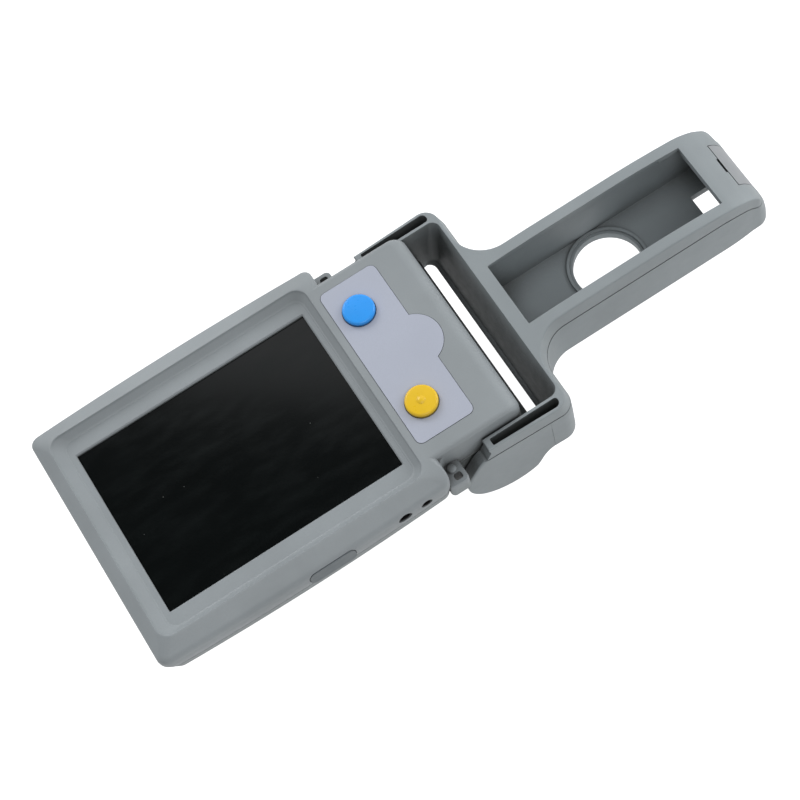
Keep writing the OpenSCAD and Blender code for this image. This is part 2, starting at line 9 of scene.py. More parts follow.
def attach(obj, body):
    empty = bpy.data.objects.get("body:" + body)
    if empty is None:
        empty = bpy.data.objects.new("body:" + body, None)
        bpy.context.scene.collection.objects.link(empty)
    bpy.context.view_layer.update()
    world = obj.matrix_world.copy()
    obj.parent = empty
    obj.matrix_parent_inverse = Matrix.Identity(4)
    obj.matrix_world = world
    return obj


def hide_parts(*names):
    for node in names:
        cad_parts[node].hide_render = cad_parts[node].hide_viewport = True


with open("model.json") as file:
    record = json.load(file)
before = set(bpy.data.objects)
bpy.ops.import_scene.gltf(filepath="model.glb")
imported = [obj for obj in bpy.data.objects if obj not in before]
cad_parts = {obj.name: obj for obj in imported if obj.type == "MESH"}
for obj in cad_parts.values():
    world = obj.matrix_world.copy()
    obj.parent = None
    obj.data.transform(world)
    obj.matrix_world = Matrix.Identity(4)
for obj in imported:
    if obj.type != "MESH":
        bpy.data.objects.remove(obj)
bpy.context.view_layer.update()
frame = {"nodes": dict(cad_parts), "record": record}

# All shapes below are written in millimetres and scaled once to metres.
MM = 0.001
# Faces that meet at more than this many degrees keep a sharp edge between them.
SHARP_ANGLE = 32.0

# ---- Main sizes, the same as in the CAD source. _HW is half a width, _R a radius ----
SPLIT_Z = 7.2
RIM_Z = 18.9
FRAME_Z = 16.5
NECK_CEILING_Z = 17.1
LIP_Z = 15.5
SCREEN_HL, SCREEN_HW = 35.0, 25.6
NECK_X0, NECK_END = 39.4, 68.7
NECK_HW, NECK_CORNER = 30.0, 2.4
NECK_ROLL = 4.0
NECK_EDGE = 1.2
NECK_HOLLOW_X0, NECK_HOLLOW_X1, NECK_HOLLOW_HW = 40.0, 66.9, 28.0
AXIS_X, AXIS_Z = 60.3, -4.3
BARREL_R, BARREL_HOLLOW_R = 11.6, 9.8
BUSH_R, PIN_R, PIN_HEAD_R = 4.5, 3.0, 9.5
LOBE_R = 12.9
ARM_IN, ARM_OUT, ARM_FLARE = 30.6, 35.0, 1.0
YOKE_X1, YOKE_R, YOKE_LEAN = 81.8, 4.5, 1.2
FILLET_R = 10.0
GRIP_HW = 13.7
GRIP_END, GRIP_END_R = 158.6, 4.2
GRIP_TOP, GRIP_BOTTOM = 14.2, -8.2
SHELL_SPLIT = 8.0
FLOOR_TOP = -5.5
CAVITY_X0, CAVITY_X1, CAVITY_HW = 83.0, 151.5, 11.5
WINDOW_X0, WINDOW_X1, WINDOW_HW = 83.4, 144.4, 10.2
LENS_X, LENS_HOLE_R = 113.9, 9.75
CATCH_X, CATCH_HW = 147.9, 4.2
TAB_X0, TAB_HW, TAB_Z0 = 151.9, 7.2, -5.1
TAB_AXIS_X, TAB_AXIS_Z = 153.4, 7.0
HOOK_X = 150.75
NOSE_X = 143.0
KEY_X, KEY_R, KEY_GAP = 47.9, 4.45, 0.15
KEYS = {"blue_button": 16.5, "yellow_button": -15.0}
BODY_SCREWS = [(x, s * 31.9) for x in (-39.2, 38.8) for s in (-1, 1)]
BODY_SCREWS += [(46.4, s * 25.4) for s in (-1, 1)]
GRIP_SCREWS = [(80.4, 10.0, -4.2), (80.4, -10.0, -4.2), (153.6, 10.2, -7.6), (153.6, -10.2, -7.6)]
GRIP_SCREW_LEN = 14.0
THREAD_HOLE_R, SHANK_HOLE_R, HEAD_HOLE_R = 1.05, 1.15, 2.05
CAMERA_X, CAMERA_SEAT_R, CAMERA_HOLE_R = 6.7, 5.7, 4.6
LAMP_Y, LAMP_HOLE_R = 7.9, 1.6
SOCKET_Z = 13.4
CHARGE_X, CHARGE_OPENING_R = 28.2, 2.0
VIDEO_X, VIDEO_OPENING_R = 34.8, 1.65
POWER_X, POWER_HL, POWER_Z0, POWER_Z1 = 6.1, 6.95, 9.75, 15.75
PLATE_X0, PLATE_X1, PLATE_Y0, PLATE_Y1 = 40.9, 58.2, -25.0, 26.5
PLATE_CORNER, PLATE_Z = 1.9, 18.4
BUMP_X, BUMP_Y, BUMP_R = 55.4, 0.7, 7.8
EYELET_X, EYELET_Y = 45.1, 32.7


# ---- Mesh helpers ----

def new_object(name, verts, faces):
    mesh = bpy.data.meshes.new(name)
    mesh.from_pydata([tuple(v) for v in verts], [], faces)
    mesh.validate()
    bm = bmesh.new()
    bm.from_mesh(mesh)
    bmesh.ops.recalc_face_normals(bm, faces=bm.faces)
    bm.to_mesh(mesh)
    bm.free()
    obj = bpy.data.objects.new(name, mesh)
    bpy.context.scene.collection.objects.link(obj)
    return obj


def loft(name, loops, closed=False):
    """Skin over loops of equal length; open lofts get end caps."""
    count = len(loops[0])
    rows = len(loops)
    verts = [p for loop in loops for p in loop]
    faces = []
    for i in range(rows if closed else rows - 1):
        a, b = i * count, ((i + 1) % rows) * count
        for j in range(count):
            k = (j + 1) % count
            faces.append((a + j, a + k, b + k, b + j))
    if not closed:
        faces.append(tuple(reversed(range(count))))
        faces.append(tuple(range((rows - 1) * count, rows * count)))
    return new_object(name, verts, faces)


def arc(cx, cy, r, a0, a1, steps):
    out = []
    for i in range(steps + 1):
        a = math.radians(a0 + (a1 - a0) * i / steps)
        out.append((cx + r * math.cos(a), cy + r * math.sin(a)))
    return out


def line(p, q, steps):
    """Points between p and q, both ends left out."""
    return [(p[0] + (q[0] - p[0]) * i / steps, p[1] + (q[1] - p[1]) * i / steps) for i in range(1, steps)]


def smooth_path(points, steps=6):
    """Catmull-Rom curve through the points."""
    out = []
    last = len(points) - 1
    for i in range(last):
        p0, p1 = points[max(i - 1, 0)], points[i]
        p2, p3 = points[i + 1], points[min(i + 2, last)]
        for k in range(steps):
            t = k / steps
            point = []
            for a, b, c, d in zip(p0, p1, p2, p3):
                square, cube = 2 * a - 5 * b + 4 * c - d, 3 * b - a - 3 * c + d
                point.append(0.5 * (2 * b + (c - a) * t + square * t * t + cube * t ** 3))
            out.append(tuple(point))
    out.append(points[-1])
    return out


def lerp(a, b, t):
    return a + (b - a) * t


def table(x, rows):
    """Linear look-up in rows of (x, value)."""
    if x <= rows[0][0]:
        return rows[0][1]
    for (xa, a), (xb, b) in zip(rows, rows[1:]):
        if x <= xb:
            return lerp(a, b, (x - xa) / (xb - xa))
    return rows[-1][1]


def boolean(target, tool, operation):
    """Applies the tool to the target at once, then removes it."""
    mod = target.modifiers.new("cut", "BOOLEAN")
    mod.operation = operation
    mod.object = tool
    mod.solver = "EXACT"
    mod.use_self = False
    graph = bpy.context.evaluated_depsgraph_get()
    mesh = bpy.data.meshes.new_from_object(target.evaluated_get(graph))
    target.modifiers.clear()
    old = target.data
    target.data = mesh
    bpy.data.meshes.remove(old)
    data = tool.data
    bpy.data.objects.remove(tool)
    bpy.data.meshes.remove(data)


def cut(target, *tools):
    for tool in tools:
        boolean(target, tool, "DIFFERENCE")
    return target


def join(target, *tools):
    for tool in tools:
        boolean(target, tool, "UNION")
    return target


def box(x0, x1, y0, y1, z0, z1):
    plan = [(x0, y0), (x1, y0), (x1, y1), (x0, y1)]
    return loft("box", [[(x, y, z) for x, y in plan] for z in (z0, z1)])


def prism(plan, z0, z1):
    return loft("prism", [[(x, y, z) for x, y in plan] for z in (z0, z1)])


def side_prism(profile, y0, y1):
    """Solid from an outline in X and Z."""
    return loft("side_prism", [[(x, y, z) for x, z in profile] for y in (y0, y1)])


def rod_z(x, y, r, z0, z1, steps=48):
    plan = arc(x, y, r, 0, 360, steps)[:-1]
    return prism(plan, z0, z1)


def rod_y(x, z, r, y0, y1, steps=64):
    return side_prism(arc(x, z, r, 0, 360, steps)[:-1], y0, y1)


def turned(name, profile, x, y, steps=64):
    """Solid of revolution about a Z axis, from (radius, z) points that start and end on the axis."""
    turns = [2 * math.pi * i / steps for i in range(steps)]
    loops = []
    verts = [(x, y, profile[0][1])]
    for r, z in profile[1:-1]:
        loops.append([(x + r * math.cos(a), y + r * math.sin(a), z) for a in turns])
    for loop in loops:
        verts += loop
    verts.append((x, y, profile[-1][1]))
    faces = []
    end = len(verts) - 1
    for j in range(steps):
        k = (j + 1) % steps
        faces.append((0, 1 + k, 1 + j))
        for i in range(len(loops) - 1):
            a, b = 1 + i * steps, 1 + (i + 1) * steps
            faces.append((a + j, a + k, b + k, b + j))
        tail = 1 + (len(loops) - 1) * steps
        faces.append((end, tail + j, tail + k))
    return new_object(name, verts, faces)


def round_plan(x0, x1, y0, y1, r, steps=8):
    return (arc(x1 - r, y1 - r, r, 0, 90, steps) + arc(x0 + r, y1 - r, r, 90, 180, steps)
            + arc(x0 + r, y0 + r, r, 180, 270, steps) + arc(x1 - r, y0 + r, r, 270, 360, steps))


def ring(y, zy, x0, z0, x1, z1, r, r0=None, bow=0.0, sides=24, ends=14, corner=8):
    """One rounded rectangle in plan. Its long sides may bow out, and its ends may lie at other heights."""
    r0 = r if r0 is None else r0
    mid, half = (x0 + x1) / 2, (x1 - x0) / 2

    def edge(x):
        return y - bow * ((x - mid) / half) ** 2

    ya, yb = edge(x1 - r), edge(x0 + r0)
    pts = []
    for i in range(1, ends):
        pts.append((x1, lerp(-(ya - r), ya - r, i / ends), z1))
    for i, (px, py) in enumerate(arc(x1 - r, ya - r, r, 0, 90, corner)):
        pts.append((px, py, lerp(z1, zy, i / corner)))
    for i in range(1, sides):
        px = lerp(x1 - r, x0 + r0, i / sides)
        pts.append((px, edge(px), zy))
    for i, (px, py) in enumerate(arc(x0 + r0, yb - r0, r0, 90, 180, corner)):
        pts.append((px, py, lerp(zy, z0, i / corner)))
    for i in range(1, ends):
        pts.append((x0, lerp(yb - r0, -(yb - r0), i / ends), z0))
    for i, (px, py) in enumerate(arc(x0 + r0, -(yb - r0), r0, 180, 270, corner)):
        pts.append((px, py, lerp(z0, zy, i / corner)))
    for i in range(1, sides):
        px = lerp(x0 + r0, x1 - r, i / sides)
        pts.append((px, -edge(px), zy))
    for i, (px, py) in enumerate(arc(x1 - r, -(ya - r), r, 270, 360, corner)):
        pts.append((px, py, lerp(zy, z1, i / corner)))
    return pts


def mirrored(make):
    """Two solids, the second in y < 0."""
    first = make()
    second = make()
    second.data.transform(Matrix.Diagonal((1, -1, 1, 1)))
    second.data.flip_normals()
    return first, second


def finish_piece(obj, node, body, slot):
    """Scales to metres, smooths the shading, and puts the piece on its body in its CAD node's place."""
    bm = bmesh.new()
    bm.from_mesh(obj.data)
    bmesh.ops.remove_doubles(bm, verts=bm.verts, dist=2e-4)
    bmesh.ops.dissolve_degenerate(bm, dist=1e-4, edges=bm.edges)
    bmesh.ops.recalc_face_normals(bm, faces=bm.faces)
    bm.to_mesh(obj.data)
    bm.free()
    obj.data.transform(Matrix.Scale(MM, 4))
    obj.data.materials.clear()
    obj.data.materials.append(MATS[slot])
    for poly in obj.data.polygons:
        poly.material_index = 0
        poly.use_smooth = True
    obj.data.set_sharp_from_angle(angle=math.radians(SHARP_ANGLE))
    weight = obj.modifiers.new("weighted", "WEIGHTED_NORMAL")
    weight.keep_sharp = True
    weight.weight = 60
    obj.name = node + "_skin"
    obj.data.name = obj.name
    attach(obj, body)
    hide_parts(node)


# ---- Materials ----

def linear(r, g, b):
    """sRGB numbers from 0 to 255 as linear colour."""
    out = []
    for c in (r, g, b):
        c /= 255
        out.append(c / 12.92 if c <= 0.04045 else ((c + 0.055) / 1.055) ** 2.4)
    return out + [1.0]


def shade(base, factor, lift=0.0):
    """The colour made darker or lighter."""
    return [min(1.0, c * factor + lift) for c in base[:3]] + [1.0]


class Nodes:
    """One material's node tree, with short calls for the nodes that these materials share."""

    def __init__(self, name):
        self.mat = bpy.data.materials.new(name)
        self.mat.use_nodes = True
        self.tree = self.mat.node_tree
        self.bsdf = self.tree.nodes["Principled BSDF"]
        self.out = self.tree.nodes["Material Output"]
        coord = self.tree.nodes.new("ShaderNodeTexCoord")
        self.place = coord.outputs["Object"]

    def add(self, kind, **inputs):
        node = self.tree.nodes.new(kind)
        for key, value in inputs.items():
            if hasattr(value, "links"):
                self.tree.links.new(value, node.inputs[key])
            else:
                node.inputs[key].default_value = value
        return node

    def link(self, a, b):
        self.tree.links.new(a, b)

    def noise(self, size_mm, detail=2.0, rough=0.5, stretch=None):
        """Noise whose features are about size_mm wide."""
        place = self.place
        if stretch:
            mapping = self.add("ShaderNodeMapping", Vector=place, Scale=stretch)
            place = mapping.outputs["Vector"]
        scale = 1 / (size_mm * MM)
        node = self.add("ShaderNodeTexNoise", Vector=place, Scale=scale, Detail=detail, Roughness=rough)
        return node.outputs["Fac"]

    def span(self, value, a, b, low, high):
        node = self.add("ShaderNodeMapRange")
        self.link(value, node.inputs["Value"])
        for key, number in (("From Min", a), ("From Max", b), ("To Min", low), ("To Max", high)):
            node.inputs[key].default_value = number
        return node.outputs["Result"]

    def math(self, operation, a, b):
        node = self.tree.nodes.new("ShaderNodeMath")
        node.operation = operation
        for i, value in enumerate((a, b)):
            if hasattr(value, "links"):
                self.link(value, node.inputs[i])
            else:
                node.inputs[i].default_value = value
        return node.outputs[0]

    def mix(self, fac, a, b):
        node = self.tree.nodes.new("ShaderNodeMix")
        node.data_type = "RGBA"
        for key, value in ((0, fac), (6, a), (7, b)):
            if hasattr(value, "links"):
                self.link(value, node.inputs[key])
            else:
                node.inputs[key].default_value = value
        return node.outputs[2]

    def set(self, **inputs):
        for key, value in inputs.items():
            key = key.replace("_", " ")
            if hasattr(value, "links"):
                self.link(value, self.bsdf.inputs[key])
            else:
                self.bsdf.inputs[key].default_value = value

    def bumps(self, layers, edge_mm):
        """Rounded edges and fine relief. Layers are (value, distance in mm, strength)."""
        normal = None
        if edge_mm:
            bevel = self.add("ShaderNodeBevel", Radius=edge_mm * MM)
            bevel.samples = 6
            normal = bevel.outputs["Normal"]
        for value, distance, strength in layers:
            node = self.add("ShaderNodeBump", Height=value, Distance=distance * MM, Strength=strength)
            if normal:
                self.link(normal, node.inputs["Normal"])
            normal = node.outputs["Normal"]
        self.link(normal, self.bsdf.inputs["Normal"])

    def hollow(self, reach_mm, low, high, floor):
        """Ambient-occlusion factor that drives painted shade: 1 in the open, falling to floor in narrow gaps
        and deep hollows.
        """
        node = self.add("ShaderNodeAmbientOcclusion", Distance=reach_mm * MM)
        node.samples = 6
        return self.span(node.outputs["AO"], low, high, floor, 1.0)

    def edge_wear(self, edge_mm):
        """1 on sharp outer edges, 0 on flat faces."""
        bevel = self.add("ShaderNodeBevel", Radius=edge_mm * MM)
        bevel.samples = 6
        geometry = self.tree.nodes.new("ShaderNodeNewGeometry")
        dot = self.tree.nodes.new("ShaderNodeVectorMath")
        dot.operation = "DOT_PRODUCT"
        self.link(bevel.outputs["Normal"], dot.inputs[0])
        self.link(geometry.outputs["Normal"], dot.inputs[1])
        return self.span(dot.outputs["Value"], 0.98, 0.80, 0.0, 1.0)


def moulded(name, colour, rough=0.46, grain=0.22, edge_mm=0.22, tint=0.035, wear=0.35):
    """Satin moulded plastic: fine spark-eroded grain, faint flow clouding, paler rubbed edges and painted
    shade in gaps and hollows.
    """
    n = Nodes(name)
    base = linear(*colour)
    darker, lighter = shade(base, 1 - 2.2 * tint), shade(base, 1 + 1.6 * tint)
    cloud = n.noise(22, 3)
    fine = n.noise(0.32, 2, 0.6)
    mid = n.noise(2.6, 3, 0.6)
    tone = n.mix(n.span(cloud, 0.35, 0.65, 0, 1), darker, lighter)
    speck = n.mix(n.span(fine, 0.40, 0.72, 0.0, 0.5), tone, shade(base, 0.93))
    rub = n.math("MULTIPLY", n.edge_wear(edge_mm * 1.6), n.span(mid, 0.4, 0.7, 0.25, 1.0))
    worn = n.mix(n.math("MULTIPLY", rub, wear), speck, shade(base, 1.32, 0.015))
    # painted shade: the base colour drops to about 0.28 of itself in gaps and hollows, set by ambient
    # occlusion
    painted_shade_ao = n.hollow(14, 0.38, 0.68, 0.0)
    shaded = n.mix(painted_shade_ao, [c * k for c, k in zip(base[:3], (0.29, 0.28, 0.27))] + [1.0], worn)
    n.set(Base_Color=shaded)
    rough_a = n.span(mid, 0.3, 0.7, rough - 0.05, rough + 0.06)
    n.set(Roughness=n.math("SUBTRACT", rough_a, n.math("MULTIPLY", rub, 0.08)))
    n.bsdf.inputs["Specular IOR Level"].default_value = 0.42
    n.bumps([(fine, 0.02, grain), (mid, 0.03, 0.12)], edge_mm)
    return n.mat


def gloss_plastic(name, colour, rough=0.3, edge_mm=0.2):
    """Smooth coloured cap with a light orange-peel surface, a few fine scuffs and painted shade at its foot.
    """
    n = Nodes(name)
    base = linear(*colour)
    cloud = n.noise(5, 2)
    peel = n.noise(0.9, 2)
    scuff = n.noise(1.4, 4, 0.7, stretch=(1.0, 6.0, 1.0))
    tone = n.mix(n.span(cloud, 0.3, 0.7, 0, 1), shade(base, 0.95), base)
    # painted shade: the cap's colour goes nearly black where other parts lie within a few millimetres, such
    # as its sides by the plate
    painted_shade_ao = n.hollow(2.5, 0.5, 0.85, 0.0)
    n.set(Base_Color=n.mix(painted_shade_ao, shade(base, 0.16), tone))
    n.set(Roughness=n.math("ADD", n.span(peel, 0.3, 0.7, rough - 0.03, rough + 0.04),
                           n.span(scuff, 0.62, 0.74, 0.0, 0.14)))
    n.bsdf.inputs["Specular IOR Level"].default_value = 0.5
    n.bumps([(peel, 0.01, 0.25)], edge_mm)
    return n.mat


def screen_glass():
    """Near-black glossy window with dust specks and faint wipe marks."""
    n = Nodes("screen_glass")
    dust = n.add("ShaderNodeTexVoronoi", Vector=n.place, Scale=330.0, Randomness=1.0)
    dot = n.span(dust.outputs["Distance"], 0.055, 0.02, 0.0, 1.0)
    pick = n.tree.nodes.new("ShaderNodeSeparateColor")
    n.link(dust.outputs["Color"], pick.inputs[0])
    chosen = n.span(pick.outputs[0], 0.90, 0.97, 0.0, 1.0)
    speck = n.math("MULTIPLY", dot, chosen)
    wipe = n.noise(14, 4, 0.6, stretch=(1.0, 3.0, 1.0))
    haze = n.span(wipe, 0.45, 0.75, 0.0, 1.0)
    deep = n.mix(haze, linear(11, 14, 14), linear(15, 19, 19))
    n.set(Base_Color=n.mix(n.math("MULTIPLY", speck, 0.55), deep, linear(150, 155, 150)))
    n.set(Roughness=n.math("ADD", n.span(wipe, 0.4, 0.7, 0.09, 0.13), n.math("MULTIPLY", speck, 0.4)))
    n.bsdf.inputs["Specular IOR Level"].default_value = 0.5
    n.bumps([(wipe, 0.001, 0.04)], 0.1)
    return n.mat


def metal(name, colour, rough=0.3):
    """Metal with fine brushed lines and slight staining."""
    n = Nodes(name)
    base = linear(*colour)
    grain = n.noise(0.5, 3, 0.7, stretch=(1.0, 1.0, 9.0))
    stain = n.noise(4, 3)
    tone = n.mix(n.span(stain, 0.35, 0.7, 0, 1), base, shade(base, 0.78))
    n.set(Base_Color=tone, Metallic=1.0, Roughness=n.span(grain, 0.3, 0.7, rough - 0.08, rough + 0.12))
    n.bumps([(grain, 0.01, 0.3)], 0.1)
    return n.mat


def board(name, colour):
    """Circuit board: solder-mask green with faint copper runs and pads."""
    n = Nodes(name)
    base = linear(*colour)
    lanes = n.add("ShaderNodeTexBrick", Vector=n.place, Scale=420.0)
    lanes.inputs["Color1"].default_value = base
    lanes.inputs["Color2"].default_value = shade(base, 0.8)
    lanes.inputs["Mortar"].default_value = shade(base, 1.5, 0.01)
    lanes.inputs["Mortar Size"].default_value = 0.04
    pads = n.add("ShaderNodeTexVoronoi", Vector=n.place, Scale=420.0, Randomness=0.4)
    pad = n.span(pads.outputs["Distance"], 0.16, 0.12, 0.0, 1.0)
    n.set(Base_Color=n.mix(pad, lanes.outputs["Color"], linear(190, 180, 130)))
    n.set(Metallic=n.math("MULTIPLY", pad, 0.8), Roughness=n.span(n.noise(1.2), 0.3, 0.7, 0.3, 0.45))
    n.bumps([(lanes.outputs["Fac"], 0.02, 0.4)], 0.1)
    return n.mat


def foil(name, colour):
    """Thin plastic film with copper lines along it."""
    n = Nodes(name)
    base = linear(*colour)
    wave = n.add("ShaderNodeTexWave", Vector=n.place, Scale=500.0, Distortion=0.0)
    wave.bands_direction = "Y"
    n.set(Base_Color=n.mix(wave.outputs["Fac"], base, shade(base, 0.55)))
    n.set(Roughness=n.span(n.noise(3), 0.3, 0.7, 0.25, 0.45))
    n.bumps([(wave.outputs["Fac"], 0.01, 0.3)], 0)
    return n.mat


def clear(name, colour, rough=0.04):
    n = Nodes(name)
    mark = n.noise(2.5, 4, 0.7)
    n.set(Base_Color=linear(*colour), Roughness=n.span(mark, 0.5, 0.75, rough, rough + 0.12), IOR=1.49)
    n.bsdf.inputs["Transmission Weight"].default_value = 0.9
    n.bumps([(mark, 0.004, 0.1)], 0.08)
    return n.mat


MATS = {
    "shell_front": moulded("shell_front", (150, 156, 159)),
    "shell_rear": moulded("shell_rear", (145, 152, 153)),
    "handle_shell": moulded("handle_shell", (150, 157, 160)),
    "tab_plastic": moulded("tab_plastic", (158, 161, 164), edge_mm=0.12, wear=0.5),
    "screen_glass": screen_glass(),
    "screen_core": moulded("screen_core", (40, 44, 47), rough=0.35),
    "lcd_metal": metal("lcd_metal", (190, 192, 195)),
    "label_plate": moulded("label_plate", (180, 185, 199), rough=0.5, grain=0.1, edge_mm=0.12, tint=0.015,
                           wear=0.6),
    "blue_plastic": gloss_plastic("blue_plastic", (48, 162, 255), edge_mm=0.25),
    "yellow_plastic": gloss_plastic("yellow_plastic", (244, 200, 36), edge_mm=0.25),
    "dark_button": moulded("dark_button", (110, 117, 121), rough=0.42, edge_mm=0.3),
    "silicone": moulded("silicone", (205, 205, 198), rough=0.6, grain=0.05, edge_mm=0.2),
    "board_green": board("board_green", (20, 92, 50)),
    "chip_black": moulded("chip_black", (38, 38, 40), rough=0.55, edge_mm=0.08),
    "ribbon_film": foil("ribbon_film", (196, 130, 60)),
    "battery_wrap": gloss_plastic("battery_wrap", (60, 95, 170), rough=0.35),
    "foam": moulded("foam", (50, 50, 52), rough=0.9, grain=1.0, edge_mm=0.0001),
    "lens_black": moulded("lens_black", (28, 28, 30), rough=0.5, edge_mm=0.1),
    "lens_glass": clear("lens_glass", (200, 215, 240)),
    "clear_window": clear("clear_window", (225, 232, 238)),
    "lamp_clear": clear("lamp_clear", (245, 245, 240), 0.15),
    "jack_black": moulded("jack_black", (24, 24, 25), rough=0.5, edge_mm=0.1),
    "connector_ivory": moulded("connector_ivory", (215, 208, 185), rough=0.5, edge_mm=0.1),
    "steel": metal("steel", (185, 186, 188)),
    "screw_black": metal("screw_black", (70, 70, 74), rough=0.42),
    "bush_brass": metal("bush_brass", (200, 165, 90)),
}


# ---- CAD nodes that stay: smooth shading and a finished material ----

def smooth_group():
    group = bpy.data.node_groups.new("smooth_by_angle", "GeometryNodeTree")
    group.interface.new_socket("Geometry", in_out="INPUT", socket_type="NodeSocketGeometry")
    group.interface.new_socket("Geometry", in_out="OUTPUT", socket_type="NodeSocketGeometry")
    add = group.nodes.new
    source, sink = add("NodeGroupInput"), add("NodeGroupOutput")
    weld = add("GeometryNodeMergeByDistance")
    weld.inputs["Distance"].default_value = 2e-6
    angle = add("GeometryNodeInputMeshEdgeAngle")
    sharp = add("FunctionNodeCompare")
    sharp.data_type = "FLOAT"
    sharp.operation = "GREATER_THAN"
    sharp.inputs[1].default_value = math.radians(SHARP_ANGLE)
    faces = add("GeometryNodeSetShadeSmooth")
    edges = add("GeometryNodeSetShadeSmooth")
    edges.domain = "EDGE"
    edges.inputs["Shade Smooth"].default_value = False
    link = group.links.new
    link(source.outputs[0], weld.inputs["Geometry"])
    link(weld.outputs["Geometry"], faces.inputs["Geometry"])
    link(faces.outputs["Geometry"], edges.inputs["Geometry"])
    link(angle.outputs["Unsigned Angle"], sharp.inputs[0])
    link(sharp.outputs[0], edges.inputs["Selection"])
    link(edges.outputs["Geometry"], sink.inputs[0])
    return group


def finish_cad_nodes():
    group = smooth_group()
    slot_of = {part["node"]: part["material_slot"] for part in frame["record"]["subparts"]}
    for name, obj in frame["nodes"].items():
        custom = obj.data.attributes.get("custom_normal")
        if custom is not None:
            obj.data.attributes.remove(custom)
        mod = obj.modifiers.new("smooth", "NODES")
        mod.node_group = group
        slot = slot_of[name]
        obj.data.materials.clear()
        obj.data.materials.append(MATS[slot])


# ---- Screen body, shapes that both housings share ----

def neck_ring(z, half, x1, corner):
    """Outline of the neck that carries the buttons, at one height."""
    return ring(half, z, NECK_X0, z, x1, z, corner, r0=0.2)


def neck_hollow(z0, z1):
    loops = [ring(NECK_HOLLOW_HW, z, NECK_HOLLOW_X0, z, NECK_HOLLOW_X1, z, 1.5) for z in (z0, z1)]
    return loft("neck_hollow", loops)


def eyelet(levels):
    """Half of a strap loop. Each level is (height, how far x and y draw in towards the middle)."""
    outer = round_plan(42.2, 48.1, 29.2, 36.3, 1.3)
    inner = round_plan(44.6, 46.9, 33.1, 35.1, 0.7)
    solid = loft("eyelet", [[(lerp(x, EYELET_X, in_x), lerp(y, EYELET_Y, in_y), z) for x, y in outer]
                            for z, in_x, in_y in levels])
    return cut(solid, prism(inner, levels[0][0] - 1, levels[-1][0] + 1))


# ---- Front housing ----

